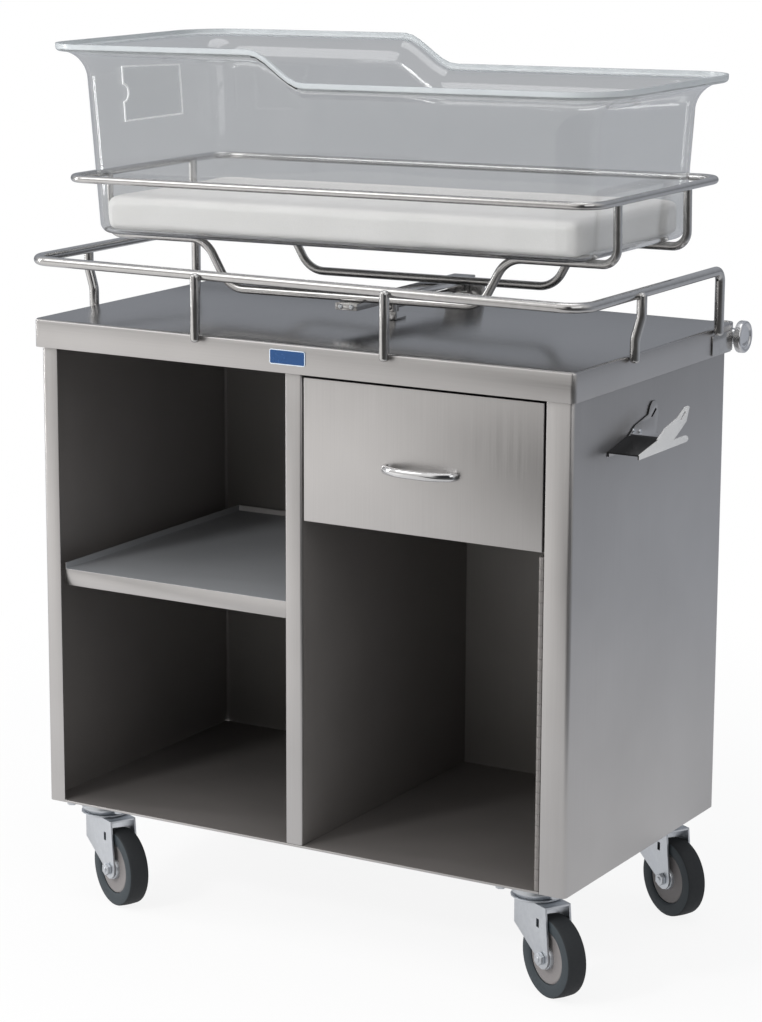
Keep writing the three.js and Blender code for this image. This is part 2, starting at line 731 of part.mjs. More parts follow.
function guardRail(diameter) {
  const right = [[footX, railFront, guardZ], [footX, railRear, guardZ], [footX, railRear, footZ]];
  const left = right.map(([x, y, z]) => [-x, y, z]).reverse();
  const bends = [GUARD_CORNER, GUARD_REAR_BEND];
  return bentRod([...left, ...right], [...bends.toReversed(), ...bends], round(diameter));
}

// A post stands against the outside of the rail, with a saddle cut where it is welded on
function guardPost(top, foot) {
  const corners = [[...foot, footZ]];
  if (top[0] !== foot[0]) corners.push([...foot, TOP_Z + GUARD_KNEE_LOW], [...top, TOP_Z + GUARD_KNEE_HIGH]);
  const post = bentRod([...corners, [...top, guardZ + guardRadius / 2]], GUARD_CORNER, round(GUARD_ROD));
  return cut(post, guardRail(GUARD_ROD + 2 * FIT));
}

add(bassinet, 'guard_rail', guardRail(GUARD_ROD), polishedSteel);
for (const [name, side] of [['left', -1], ['right', 1]]) {
  const front = [(side * GUARD_POST_SPAN) / 2, -footY];
  add(bassinet, `guard_post_front_${name}`, guardPost(front, front), polishedSteel);
  const postTop = [side * (footX + GUARD_POST_OFFSET), GUARD_SIDE_POST_Y];
  const post = guardPost(postTop, [side * footX, GUARD_SIDE_POST_Y]);
  add(bassinet, `guard_post_${name}`, post, polishedSteel);
}

// Accessory-rod socket: an angle bracket round the rear right corner, a short tube and a clamp knob
const socketX = TOP_LENGTH / 2 - SOCKET_INSET;
const bracketRear = TOP_DEPTH / 2 + FIT;
const socketY = bracketRear + SHEET + FIT + SOCKET_RADIUS;
const socketTop = TOP_Z - TOP_BEND;
const socketMiddle = socketTop - SOCKET_HEIGHT / 2;

function socketBracket() {
  const sideFace = TOP_LENGTH / 2 + FIT;
  const rearLeft = socketX - SOCKET_RADIUS - SHEET;
  const z1 = footZ - 2 * FIT;
  const z0 = z1 - SOCKET_BRACKET_HEIGHT;
  const y0 = TOP_DEPTH / 2 - SOCKET_BRACKET_LENGTH;
  const bends = [0, 1, 2, 3, 4].map((k) => (k * Math.PI) / 8);
  const arc = (radius) => bends.map((t) => [
    TOP_LENGTH / 2 - TOP_CORNER + radius * Math.cos(t),
    TOP_DEPTH / 2 - TOP_CORNER + radius * Math.sin(t),
  ]);
  const inside = [...arc(TOP_CORNER + FIT), [rearLeft, bracketRear]];
  const outside = [[rearLeft, bracketRear + SHEET], ...arc(TOP_CORNER + FIT + SHEET).reverse()];
  return raise(outline([[sideFace, y0], ...inside, ...outside, [sideFace + SHEET, y0]]), z0, z1);
}

function rodSocket() {
  const tube = turnedZ(sleeve(SOCKET_BORE, SOCKET_RADIUS, -SOCKET_HEIGHT / 2, SOCKET_HEIGHT / 2), 18);
  const studHole = turnedX(peg(KNOB_STUD_RADIUS + FIT, 0, 2 * SOCKET_RADIUS), 12);
  return cut(tube, studHole).translate(socketX, socketY, socketMiddle);
}

// The knob turns on X; its profile runs from the stud's tip out to the dished face
function clampKnob() {
  const neck = SOCKET_RADIUS + FIT;
  const back = neck + KNOB_NECK;
  const face = back + KNOB_THICK;
  const profile = [[0, SOCKET_BORE], [KNOB_STUD_RADIUS, SOCKET_BORE], [KNOB_STUD_RADIUS, neck]];
  profile.push([KNOB_NECK_RADIUS, neck], [KNOB_NECK_RADIUS, back], [KNOB_BACK, back]);
  profile.push([KNOB_RADIUS, back + KNOB_RADIUS - KNOB_BACK], [KNOB_RADIUS, face - KNOB_EDGE]);
  profile.push([KNOB_RADIUS - KNOB_EDGE, face], [KNOB_DISH, face]);
  profile.push([KNOB_DISH - KNOB_EDGE / 2, face - KNOB_EDGE], [0, face - KNOB_EDGE]);
  return turnedX(profile, 22).translate(socketX, socketY, socketMiddle);
}

add(bassinet, 'socket_bracket', socketBracket(), polishedSteel);
add(bassinet, 'rod_socket', rodSocket(), polishedSteel);
add(bassinet, 'clamp_knob', clampKnob(), chrome);

// Bracket on the right panel: its flanges share one outline, low at the front and eared at the rear;
// the inner flange lies on the panel and its ear is round, the outer one has a pointed ear and a finger
function bracketFlange(ear, rear, x0) {
  const notch = BRACKET_HEIGHT / 5;
  const front = [[0, 0], [BRACKET_FINGER - BRACKET_SLOT, 0], [BRACKET_FINGER, BRACKET_SLOT / 2]];
  front.push([BRACKET_FINGER - BRACKET_SLOT / 2, notch - 2], [BRACKET_FINGER - 2 * BRACKET_SLOT, notch]);
  const rise = [[109, 35], [86, 30], [72, 27], [49, 14], [0, BRACKET_NOSE]];
  const plate = runAlongX(outline([...front, ...rear, ...ear, ...rise]), x0, x0 + BRACKET_SHEET);
  const slot = outline([[116, 31], [120, 30], [132, 38], [128, 40]]);
  return cut(plate, runAlongX(slot, x0 - BRACKET_SHEET, x0 + 2 * BRACKET_SHEET));
}

function sideBracket() {
  const pointed = [[134, 26], [142, 43], [138, BRACKET_HEIGHT], [130, BRACKET_HEIGHT]];
  const rounded = [[136, 36], [133, 46], [128, 50], [120, 50], [114, 45]];
  const inner = bracketFlange(rounded, [[BRACKET_FINGER, 28]], 0);
  const outer = bracketFlange(pointed, [[BRACKET_NOTCH, BRACKET_HEIGHT / 5]], BRACKET_REACH - BRACKET_SHEET);
  const fall = [[0, BRACKET_NOSE - BRACKET_SHEET], [BRACKET_WEB, 16], [BRACKET_WEB, 18], [0, BRACKET_NOSE]];
  return join(inner, outer, runAlongX(outline(fall), BRACKET_SHEET / 2, BRACKET_REACH - BRACKET_SHEET / 2));
}

const bracket = sideBracket().translate(RIGHT_X + FIT, FRONT_Y + BRACKET_FRONT, TOP_Z - BRACKET_DROP);
add(bassinet, 'side_bracket', bracket, polishedSteel);

// Carrier stands on the cabinet top, each with a foot and a hole for the pivot pin
const pivotZ = TOP_Z + PIVOT_HEIGHT;
const rearStandY = TOP_DEPTH / 2 - REAR_STAND_INSET;
const pinHole = PIN_RADIUS + PIN_RUN / 2;

function stand(width, height, toward) {
  const half = width / 2;
  const lean = Math.max(0, half - STAND_WIDTH / 2) / 2;
  const z0 = FIT - PIVOT_HEIGHT;
  const z1 = z0 + height;
  const slope = [[half, z1 - lean / 2], [half - lean / 2, z1], [-half + lean, z1], [-half, z1 - lean]];
  const shape = outline([[-half, z0], [half, z0], ...slope]);
  const upright = runAlongY(shape, -LUG_THICK / 2, LUG_THICK / 2);
  const footY = [0, toward * STAND_FOOT].sort((a, b) => a - b);
  const foot = block(-half, half, ...footY, z0, z0 + PLATE);
  const hole = turned(peg(pinHole, -STAND_FOOT, STAND_FOOT), 16);
  return cut(join(upright, foot), hole).translate(CARRIER_X, 0, pivotZ);
}

const frontStandHeight = PIVOT_HEIGHT + STAND_WIDTH / 2;
const frontStand = stand(STAND_WIDTH, frontStandHeight, 1).translate(0, CARRIER_Y, 0);
const rearStand = stand(REAR_STAND_WIDTH, REAR_STAND_HEIGHT, -1).translate(0, rearStandY, 0);
add(bassinet, 'tilt_front_stand', frontStand, polishedSteel);
add(bassinet, 'tilt_rear_stand', rearStand, polishedSteel);

// Carrier: everything from here to the mattress sits at the photographed tilt
const carrier = place(bassinet, CARRIER_X, CARRIER_Y, pivotZ);
carrier.rotation.y = THREE.MathUtils.degToRad(-CARRIER_TILT);
const rodRadius = CARRIER_ROD / 2;

// The ring is two equal bent halves butt-joined at the middle of its long sides
function carrierRing() {
  const half = (side) => bentRod([
    [0, -RING_HALF_WIDTH, RING_HEIGHT],
    [side * RING_HALF_LENGTH, -RING_HALF_WIDTH, RING_HEIGHT],
    [side * RING_HALF_LENGTH, RING_HALF_WIDTH, RING_HEIGHT],
    [0, RING_HALF_WIDTH, RING_HEIGHT],
  ], RING_CORNER, round(RING_ROD));
  return join(half(-1), half(1));
}

function carrierRod(y) {
  const legX = RING_HALF_LENGTH - RING_ROD / 2 - rodRadius - FIT;
  const drop = REST_HEIGHT - LOW_HEIGHT;
  const shift = drop / Math.tan(THREE.MathUtils.degToRad(LOW_SLOPE)) / 2;
  const right = [[LOW_HALF_SPAN - shift, y, LOW_HEIGHT], [LOW_HALF_SPAN + shift, y, REST_HEIGHT]];
  right.push([legX, y, REST_HEIGHT], [legX, y, RING_HEIGHT]);
  const left = right.map(([x, , z]) => [-x, y, z]).reverse();
  const bends = [ROD_BEND, ROD_BEND, LEG_BEND];
  return bentRod([...left, ...right], [...bends.toReversed(), ...bends], round(CARRIER_ROD));
}

// Cross channel under both rods, with lugs that hang on the pivot pin beside each stand
const channelTop = LOW_HEIGHT - rodRadius - FIT;
const channelFront = -ROD_SPACING / 2 - rodRadius - CHANNEL_OVERHANG;
const channelRear = rearStandY - CARRIER_Y - LUG_THICK / 2 - PIN_RUN;
const lugPlaces = [-LUG_THICK - PIN_RUN, LUG_THICK + PIN_RUN, channelRear - LUG_THICK / 2];

function tiltChannel() {
  const half = CHANNEL_WIDTH / 2;
  const low = channelTop - CHANNEL_DEPTH;
  const under = channelTop - CHANNEL_SHEET;
  const inner = half - CHANNEL_SHEET;
  const points = [[-half, low], [-half, channelTop], [half, channelTop], [half, low], [inner, low]];
  const section = outline([...points, [inner, under], [-inner, under], [-inner, low]]);
  const lugs = lugPlaces.map((y) => {
    const w = LUG_WIDTH / 2;
    return block(-w, w, y - LUG_THICK / 2, y + LUG_THICK / 2, -w, under + CHANNEL_SHEET / 2);
  });
  const bite = CHANNEL_SHEET / 2;
  const closed = (y0, y1) => block(-inner - bite, inner + bite, y0, y1, low, under + bite);
  const ends = [closed(channelFront, channelFront + LUG_THICK), closed(channelRear - LUG_THICK, channelRear)];
  const bored = turned(peg(PIN_RADIUS + FIT / 2, -TOP_DEPTH, TOP_DEPTH), 16);
  return cut(join(runAlongY(section, channelFront, channelRear), ...lugs, ...ends), bored);
}

const pinFront = lugPlaces[0] - LUG_THICK;
const pinRear = rearStandY - CARRIER_Y + 2 * LUG_THICK;
add(carrier, 'carrier_ring', carrierRing(), polishedSteel);
add(carrier, 'carrier_front_rod', carrierRod(-ROD_SPACING / 2), polishedSteel);
add(carrier, 'carrier_rear_rod', carrierRod(ROD_SPACING / 2), polishedSteel);
add(carrier, 'tilt_channel', tiltChannel(), polishedSteel);
add(carrier, 'tilt_pin', turned(peg(PIN_RADIUS, pinFront, pinRear), 16), polishedSteel);

// Basket: a clear tub with rounded bottom edges and a flared, upturned rim, higher at the left end
const basket = place(carrier, BASKET_SHIFT, 0, REST_HEIGHT + rodRadius + FIT);
const stepSide = [-5, -3, -2, -1, 0, 1, 2, 3, 5].map((k) => BASKET_STEP_X + (k * BASKET_STEP_LENGTH) / 6);

function rimHeight(x) {
  const stepStart = BASKET_STEP_X - BASKET_STEP_LENGTH / 2;
  const t = THREE.MathUtils.smoothstep(x, stepStart, stepStart + BASKET_STEP_LENGTH);
  return BASKET_LOW + BASKET_STEP * (1 - t);
}

// One skin of the tub, from its floor up to its rim; inset is 0 outside and the wall inside
function tubSkin(inset) {
  const rings = [];
  const ring = (length, width, corner, height) =>
    rings.push(planRing(length - 2 * inset, width - 2 * inset, corner - inset, stepSide, height));
  const edge = BASKET_EDGE - inset;
  for (let k = 0; k <= 3; k += 1) {
    const angle = (k * Math.PI) / 6;
    const draw = 2 * edge * (1 - Math.sin(angle));
    const z = inset + edge * (1 - Math.cos(angle));
    ring(BASKET_BASE_LENGTH - draw, BASKET_BASE_WIDTH - draw, BASKET_CORNER - draw / 2, () => z);
  }
  for (let k = 0; k <= 4; k += 1) {
    const angle = (k * Math.PI) / 8;
    const out = 1 - Math.cos(angle);
    const length = BASKET_WALL_LENGTH + (BASKET_RIM_LENGTH - BASKET_WALL_LENGTH) * out;
    const width = BASKET_WALL_WIDTH + (BASKET_RIM_WIDTH - BASKET_WALL_WIDTH) * out;
    const corner = BASKET_CORNER + ((BASKET_RIM_WIDTH - BASKET_WALL_WIDTH) / 2) * out;
    const lower = BASKET_WALL - inset;
    const drop = lower + BASKET_LIP + BASKET_FLARE * (1 - Math.sin(angle));
    ring(length, width, corner, (x) => rimHeight(x) - drop);
  }
  const rimCorner = BASKET_CORNER + BASKET_SIDE_FLARE;
  ring(BASKET_RIM_LENGTH, BASKET_RIM_WIDTH, rimCorner, rimHeight);
  return rings;
}

function clearBasket() {
  const outside = tubSkin(0);
  const inside = tubSkin(BASKET_WALL);
  return loft([...outside, ...inside.reverse()]);
}

// Card holder: a thin pocket with a thumb notch, on the inside of the left end wall
function cardHolder() {
  const half = CARD_LENGTH / 2;
  const shape = new THREE.Shape();
  shape.moveTo(-half, 0);
  shape.lineTo(half, 0);
  shape.lineTo(half, CARD_HEIGHT);
  shape.lineTo(-half, CARD_HEIGHT);
  shape.lineTo(-half, CARD_HEIGHT / 2 + CARD_NOTCH);
  shape.absarc(-half, CARD_HEIGHT / 2, CARD_NOTCH, Math.PI / 2, -Math.PI / 2, true);
  return runAlongX(shape, 0, CARD_SHEET, 6);
}

const leftRim = BASKET_LOW + BASKET_STEP;
const wallTop = leftRim - BASKET_LIP - BASKET_FLARE;
const cardBottom = wallTop - CARD_HEIGHT / 2 - CARD_DROP;
const wallRise = wallTop - BASKET_EDGE;
const wallDraft = Math.atan2((BASKET_WALL_LENGTH - BASKET_BASE_LENGTH) / 2, wallRise);
const cardBack = (z) => -BASKET_BASE_LENGTH / 2 - (z - BASKET_EDGE) * Math.tan(wallDraft) + BASKET_WALL;
add(basket, 'basket', clearBasket(), clearPlastic);
const card = add(basket, 'card_holder', cardHolder(), cardPlastic);
card.position.set(cardBack(cardBottom) + 2 * FIT, 0, cardBottom);
card.rotation.y = -wallDraft;

// Mattress: crowned, with its sides drawn in between the corners and a flat underside
function mattressPad() {
  const stops = [-3, -2, -1, 0, 1, 2, 3].map((k) => (k * MATTRESS_LENGTH) / 8.4);
  const halfLength = MATTRESS_LENGTH / 2;
  const halfWidth = MATTRESS_WIDTH / 2;
  const rings = [];
  const ring = (shrink, height) => {
    const length = MATTRESS_LENGTH - 2 * shrink;
    const width = MATTRESS_WIDTH - 2 * shrink;
    const corner = Math.max(MATTRESS_CORNER / 9, MATTRESS_CORNER - shrink);
    const flat = planRing(length, width, corner, stops, height);
    flat.forEach((p) => {
      const drawY = MATTRESS_DRAW * Math.max(0, 1 - (p.x / halfLength) ** 2);
      const drawX = MATTRESS_DRAW * Math.max(0, 1 - (p.y / halfWidth) ** 2);
      p.y -= Math.sign(p.y) * drawY * Math.min(1, Math.abs(p.y) / (width / 2));
      p.x -= Math.sign(p.x) * drawX * Math.min(1, Math.abs(p.x) / (length / 2));
    });
    rings.push(flat);
  };
  const crown = (x, y) => MATTRESS_CROWN * (1 - (x / halfLength) ** 2) * (1 - (y / halfWidth) ** 2);
  const side = MATTRESS_THICK - MATTRESS_CROWN;
  for (let k = 0; k <= 4; k += 1) {
    const angle = (k * Math.PI) / 4;
    const z = (side * (1 - Math.cos(angle))) / 2;
    ring(MATTRESS_EDGE * (1 - Math.sin(angle)), (x, y) => z + (k === 4 ? crown(x, y) : 0));
  }
  for (const share of [0.22, 0.5, 0.8]) {
    ring(MATTRESS_EDGE + share * (halfWidth - MATTRESS_EDGE), (x, y) => side + crown(x, y));
  }
  return loft(rings);
}

const pad = place(basket, 0, 0, BASKET_WALL + FIT);
add(pad, 'mattress', mattressPad(), mattressVinyl);

// Casters: a plate with a race cup, a swivelling fork, an axle bolt, and a tyre on its hub
const plateTop = CASTER_HEIGHT - FIT;
const cupBottom = plateTop - CASTER_PLATE_SHEET - RACE_CUP;
const discTop = cupBottom - FIT;
const crownTop = discTop - RACE_DISC;
const forkInside = WHEEL_WIDTH / 2 + FORK_SIDE_CLEAR;
const forkOutside = forkInside + FORK_SHEET;

function casterPlate() {
  const flat = roundedRect(CASTER_PLATE_LENGTH, CASTER_PLATE_WIDTH, PLATE_CORNER);
  const plate = raise(flat, plateTop - CASTER_PLATE_SHEET, plateTop, 1);
  const cup = turnedZ([
    [0, cupBottom],
    [RACE_RADIUS - CUP_ROUND, cupBottom],
    [RACE_RADIUS, cupBottom + RACE_CUP * 0.5],
    [RACE_RADIUS - CUP_ROUND * 0.75, plateTop - CASTER_PLATE_SHEET / 2],
    [0, plateTop - CASTER_PLATE_SHEET / 2],
  ], 18);
  const bolts = [-1, 1].flatMap((i) => [-1, 1].map((j) => {
    const seat = plateTop - CASTER_PLATE_SHEET / 2;
    const nut = turnedZ(peg(PLATE_NUT_RADIUS, seat - CASTER_PLATE_SHEET / 2 - PLATE_NUT_THICK, seat), 6);
    return nut.translate(i * PLATE_BOLT_X, j * PLATE_BOLT_Y, 0);
  }));
  return join(plate, cup, ...bolts);
}

function forkLeg(y0, y1) {
  const shape = new THREE.Shape();
  shape.moveTo(-FORK_TOP_BACK, crownTop);
  shape.lineTo(-FORK_TOP_BACK, crownTop - FORK_BACK_DROP);
  shape.lineTo(CASTER_TRAIL - FORK_BOSS, WHEEL_RADIUS);
  shape.absarc(CASTER_TRAIL, WHEEL_RADIUS, FORK_BOSS, Math.PI, 2 * Math.PI);
  shape.lineTo(FORK_TOP_FRONT, crownTop);
  const leg = runAlongY(shape, y0, y1, 3);
  const slotTop = crownTop - FORK_SLOT_TOP;
  const half = FORK_SLOT_WIDTH / 2;
  const slotX = [FORK_SLOT_X - half, FORK_SLOT_X + half];
  const slot = block(...slotX, y0 - half, y1 + half, slotTop - FORK_SLOT_LENGTH, slotTop);
  const bore = turned(peg(AXLE_RADIUS + FIT, y0 - half, y1 + half), 10);
  const hole = bore.translate(CASTER_TRAIL, 0, WHEEL_RADIUS);
  return cut(leg, slot, hole);
}

function casterFork() {
  const under = crownTop - FORK_SHEET;
  const crown = block(-FORK_TOP_BACK, FORK_TOP_FRONT, -forkOutside, forkOutside, under, crownTop);
  const seat = crownTop - FORK_SHEET / 2;
  const disc = turnedZ([
    [0, seat],
    [RACE_RADIUS - 1.5 * CUP_ROUND, seat],
    [RACE_RADIUS + FIT, discTop - RACE_DISC * 0.45],
    [RACE_RADIUS, discTop],
    [0, discTop],
  ], 18);
  const king = turnedZ(peg(KING_RADIUS, under - KING_DROP, crownTop), 8);
  const legs = [forkLeg(-forkOutside, -forkInside), forkLeg(forkInside, forkOutside)];
  return join(crown, disc, king, ...legs);
}

// Axle bolt: a plain shank with a six-sided head and nut outside the fork legs
function axleBolt() {
  const seat = forkOutside + FIT;
  const shankEnd = seat + NUT_THICK / 2;
  const shank = turned(peg(AXLE_RADIUS, -shankEnd, shankEnd), 10);
  const head = turned(peg(NUT_RADIUS, seat, seat + NUT_THICK), 6);
  const nut = turned(peg(NUT_RADIUS, -seat - NUT_THICK, -seat), 6);
  return join(shank, head, nut);
}

function tyre() {
  const half = WHEEL_WIDTH / 2;
  const bore = HUB_RADIUS + FIT;
  const shoulder = WHEEL_RADIUS - TREAD_ROUND;
  const crown = WHEEL_RADIUS - TREAD_CROWN;
  const profile = [[bore, -half + TYRE_LIP], [shoulder, -half], [crown, -half + TREAD_ROUND]];
  const mirrored = profile.map(([r, h]) => [r, -h]).reverse();
  return turned([...profile, [WHEEL_RADIUS, 0], ...mirrored, profile[0]], 30);
}

function hub() {
  const half = WHEEL_WIDTH / 2;
  const bore = AXLE_RADIUS + AXLE_RUN;
  const boss = forkInside - FIT;
  const rim = half - HUB_RECESS;
  const profile = [[bore, -boss], [HUB_BOSS, -boss], [HUB_BOSS, -rim], [HUB_RADIUS, -rim]];
  const mirrored = profile.map(([r, h]) => [r, -h]).reverse();
  return turned([...profile, ...mirrored, profile[0]], 18);
}

for (const [name, turn] of Object.entries(CASTER_TURN)) {
  const x = (name.endsWith('left') ? -1 : 1) * (BODY_WIDTH / 2 - CASTER_INSET_X);
  const y = (name.startsWith('front') ? -1 : 1) * (BODY_DEPTH / 2 - CASTER_INSET_Y);
  const corner = place(bassinet, x, y, 0);
  add(corner, `caster_plate_${name}`, casterPlate(), zinc);
  const swivel = place(corner, 0, 0, 0);
  swivel.rotation.z = THREE.MathUtils.degToRad(turn);
  add(swivel, `caster_fork_${name}`, casterFork(), zinc);
  const wheel = place(swivel, CASTER_TRAIL, 0, WHEEL_RADIUS);
  add(wheel, `caster_axle_${name}`, axleBolt(), zinc);
  add(wheel, `caster_tyre_${name}`, tyre(), tyreRubber);
  add(wheel, `caster_hub_${name}`, hub(), hubPlastic);
}

// The origin is on the floor under the middle of the whole object
bassinet.updateMatrixWorld(true);
const extent = new THREE.Box3().setFromObject(bassinet, true);
const middle = extent.getCenter(new THREE.Vector3());
bassinet.position.set(-middle.x, -middle.y, -extent.min.z);

export default bassinet;
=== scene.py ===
import json
import math

import bmesh
import bpy
from mathutils import Matrix, Vector


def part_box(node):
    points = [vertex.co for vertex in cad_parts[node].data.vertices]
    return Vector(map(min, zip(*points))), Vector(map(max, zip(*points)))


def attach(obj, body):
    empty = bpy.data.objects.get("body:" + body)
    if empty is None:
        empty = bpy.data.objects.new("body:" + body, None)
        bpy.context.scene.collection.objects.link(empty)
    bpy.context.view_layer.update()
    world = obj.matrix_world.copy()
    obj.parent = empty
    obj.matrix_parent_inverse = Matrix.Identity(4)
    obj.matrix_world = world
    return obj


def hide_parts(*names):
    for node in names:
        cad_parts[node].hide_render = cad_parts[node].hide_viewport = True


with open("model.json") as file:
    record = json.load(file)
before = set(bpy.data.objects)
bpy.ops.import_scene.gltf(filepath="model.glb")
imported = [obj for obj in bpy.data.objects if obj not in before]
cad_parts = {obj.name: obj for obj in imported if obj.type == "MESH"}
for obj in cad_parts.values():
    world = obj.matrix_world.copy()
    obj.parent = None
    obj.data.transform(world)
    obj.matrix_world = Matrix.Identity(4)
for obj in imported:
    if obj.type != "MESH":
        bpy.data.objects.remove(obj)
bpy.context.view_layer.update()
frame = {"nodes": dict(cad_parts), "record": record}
nodes = frame["nodes"]
scene = bpy.context.scene

# Sizes shared with the solids, in millimetres
FIT = 0.3
TOP_Z = 790
TOP_DEPTH = 450
FRONT_Y, REAR_Y = -217, 217
LEFT_X, RIGHT_X = -387.5, 387.5
GUARD_ROD, GUARD_Z = 12.7, 865
FOOT_X, FOOT_Y, FOOT_Z = 399.65, 231.65, 781
RAIL_FRONT, RAIL_REAR = -223.65, 165
POST_OUT, KNEE_LOW, KNEE_HIGH = 8, 20, 48
GUARD_CORNER, GUARD_REAR_BEND = 32, 14
RING_ROD, RING_X, RING_Y, RING_Z, RING_CORNER = 10, 383, 181, 165, 32
CARRIER_ROD, ROD_Y, REST_Z, LOW_Z = 11, 99, 86, 24
LOW_SPAN, LOW_SLOPE, ROD_BEND, LEG_BEND = 203, 60, 38, 20
BASKET_FLOOR = REST_Z + CARRIER_ROD / 2 + FIT
WHEEL_RADIUS, WHEEL_WIDTH, CASTER_TRAIL = 52, 28, 40
FORK_OUTSIDE = 19
CASTERS = {
    "front_left": (-1, -1, -26),
    "front_right": (1, -1, -28.5),
    "rear_left": (-1, 1, -27),
    "rear_right": (1, 1, -28),
}
CASTER_X, CASTER_Y = 326.5, 173

# The cabinet's own middle is the middle of its top
top_low, top_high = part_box("cabinet_top")
MIDDLE = Vector(((top_low.x + top_high.x) / 2, (top_low.y + top_high.y) / 2, 0))
CABINET = Matrix.Translation(MIDDLE) @ Matrix.Scale(0.001, 4)
CARRIER = CABINET @ Matrix.Translation((9, 7, 808)) @ Matrix.Rotation(math.radians(-0.9), 4, "Y")
FRAME = Matrix.Identity(4)


def linear(hex_colour):
    """sRGB hex to the linear colour that a shader socket takes."""
    parts = [int(hex_colour[i : i + 2], 16) / 255 for i in (1, 3, 5)]
    return (*[c / 12.92 if c <= 0.04045 else ((c + 0.055) / 1.055) ** 2.4 for c in parts], 1)


def put(tree, kind, inputs=None, **settings):
    """Adds a node with its settings; an input is a value, or the socket that feeds it."""
    node = tree.nodes.new(kind)
    for key, value in settings.items():
        setattr(node, key, value)
    for key, value in (inputs or {}).items():
        if isinstance(value, bpy.types.NodeSocket):
            tree.links.new(value, node.inputs[key])
        else:
            node.inputs[key].default_value = value
    return node


def surface(name, **sockets):
    """A new material: its tree, its shader and its Object coordinates."""
    material = bpy.data.materials.new(name)
    material.use_nodes = True
    tree = material.node_tree
    shader = tree.nodes["Principled BSDF"]
    for key, value in sockets.items():
        shader.inputs[key.replace("_", " ")].default_value = value
    place = put(tree, "ShaderNodeTexCoord").outputs["Object"]
    return material, tree, shader, place


def shade(tree, shader, socket, factor, low, high):
    """Feeds a shader colour that runs between two hex colours with a factor."""
    mix = put(tree, "ShaderNodeMix", {"Factor": factor}, data_type="RGBA")
    mix.inputs["A"].default_value = linear(low)
    mix.inputs["B"].default_value = linear(high)
    tree.links.new(mix.outputs["Result"], shader.inputs[socket])
    return mix


def steel(name, low, high, rough, spread, grain, bump=0.02, metallic=1.0):
    """Stainless sheet: fine polishing lines along its grain break up the gloss, over faint cloudy rolling marks.
    The real lines are about 0.1 mm apart, so they are drawn at 1.5 mm to show in the render."""
    material, tree, shader, place = surface(name, Metallic=metallic)
    across = 1000 / 1.5
    along = 1000 / 160
    scale = [across] * 3
    scale["XYZ".index(grain)] = along
    lines = put(tree, "ShaderNodeMapping", {"Vector": place, "Scale": scale})
    fine = put(tree, "ShaderNodeTexNoise", {"Vector": lines.outputs[0], "Scale": 1, "Detail": 2, "Roughness": 0.6})
    cloud = put(tree, "ShaderNodeTexNoise", {"Vector": place, "Scale": 1000 / 220, "Detail": 3, "Roughness": 0.55})
    blend = put(tree, "ShaderNodeMix", {"Factor": 0.35}, data_type="FLOAT")
    tree.links.new(cloud.outputs["Fac"], blend.inputs["A"])
    tree.links.new(fine.outputs["Fac"], blend.inputs["B"])
    tone = put(tree, "ShaderNodeMapRange", {"Value": blend.outputs["Result"], "From Min": 0.32, "From Max": 0.68})
    shade(tree, shader, "Base Color", tone.outputs[0], low, high)
    gloss = put(tree, "ShaderNodeMapRange", {"Value": fine.outputs["Fac"], "From Min": 0.25, "From Max": 0.75,
                                             "To Min": rough - spread, "To Max": rough + spread})
    tree.links.new(gloss.outputs[0], shader.inputs["Roughness"])
    relief = put(tree, "ShaderNodeBump", {"Height": fine.outputs["Fac"], "Strength": bump, "Distance": 0.0004})
    tree.links.new(relief.outputs[0], shader.inputs["Normal"])
    return material


def plain(name, low, high, rough, spread, cell, metallic=0.0, bump=0.0, **sockets):
    """A moulded, plated or drawn finish: soft patches of tone and gloss, each about cell millimetres across."""
    material, tree, shader, place = surface(name, Metallic=metallic, **sockets)
    patch = put(tree, "ShaderNodeTexNoise", {"Vector": place, "Scale": 1000 / cell, "Detail": 4, "Roughness": 0.6})
    shade(tree, shader, "Base Color", patch.outputs["Fac"], low, high)
    gloss = put(tree, "ShaderNodeMapRange", {"Value": patch.outputs["Fac"], "From Min": 0.3, "From Max": 0.7,
                                             "To Min": rough - spread, "To Max": rough + spread})
    tree.links.new(gloss.outputs[0], shader.inputs["Roughness"])
    if bump:
        relief = put(tree, "ShaderNodeBump", {"Height": patch.outputs["Fac"], "Strength": bump, "Distance": 0.0006})
        tree.links.new(relief.outputs[0], shader.inputs["Normal"])
    return material


def lets_light_through(material):
    """Thin clear sheet bends no light worth seeing, so lamps and bounced light pass straight through it."""
    tree = material.node_tree
    rays = put(tree, "ShaderNodeLightPath").outputs
    passing = put(tree, "ShaderNodeMath", {0: rays["Is Shadow Ray"], 1: rays["Is Diffuse Ray"]}, operation="MAXIMUM")
    clear = put(tree, "ShaderNodeBsdfTransparent", {"Color": linear("#fbfcfc")})
    shader = tree.nodes["Principled BSDF"]
    both = put(tree, "ShaderNodeMixShader", {0: passing.outputs[0], 1: shader.outputs[0], 2: clear.outputs[0]})
    tree.links.new(both.outputs[0], tree.nodes["Material Output"].inputs["Surface"])


# Satin stainless sheet, polished along one direction: pale, broad highlights with a fine line
satin_upright = steel("satin_stainless_upright", "#bdbbba", "#cac8c7", 0.34, 0.06, "Z")
satin_level = steel("satin_stainless_level", "#bab8b7", "#c6c4c3", 0.34, 0.06, "X")
# The top is buffed to a brighter polish, so it mirrors the posts in long streaks; its colour is painted darker than the
# front and sides as painted shade
buffed_top_painted_shade = steel("buffed_stainless_top_painted_shade", "#9a9999", "#a7a6a6", 0.2, 0.05, "X", 0.012)
# Steel inside the cabinet: its colour is painted darker than the outside sheet as painted shade for the bays; its dull
# film scatters about half of the little light in the bays
inside_steel_painted_shade = steel("stainless_inside_painted_shade", "#8a8785", "#979391", 0.62, 0.06, "Z", 0.01, 0.55)
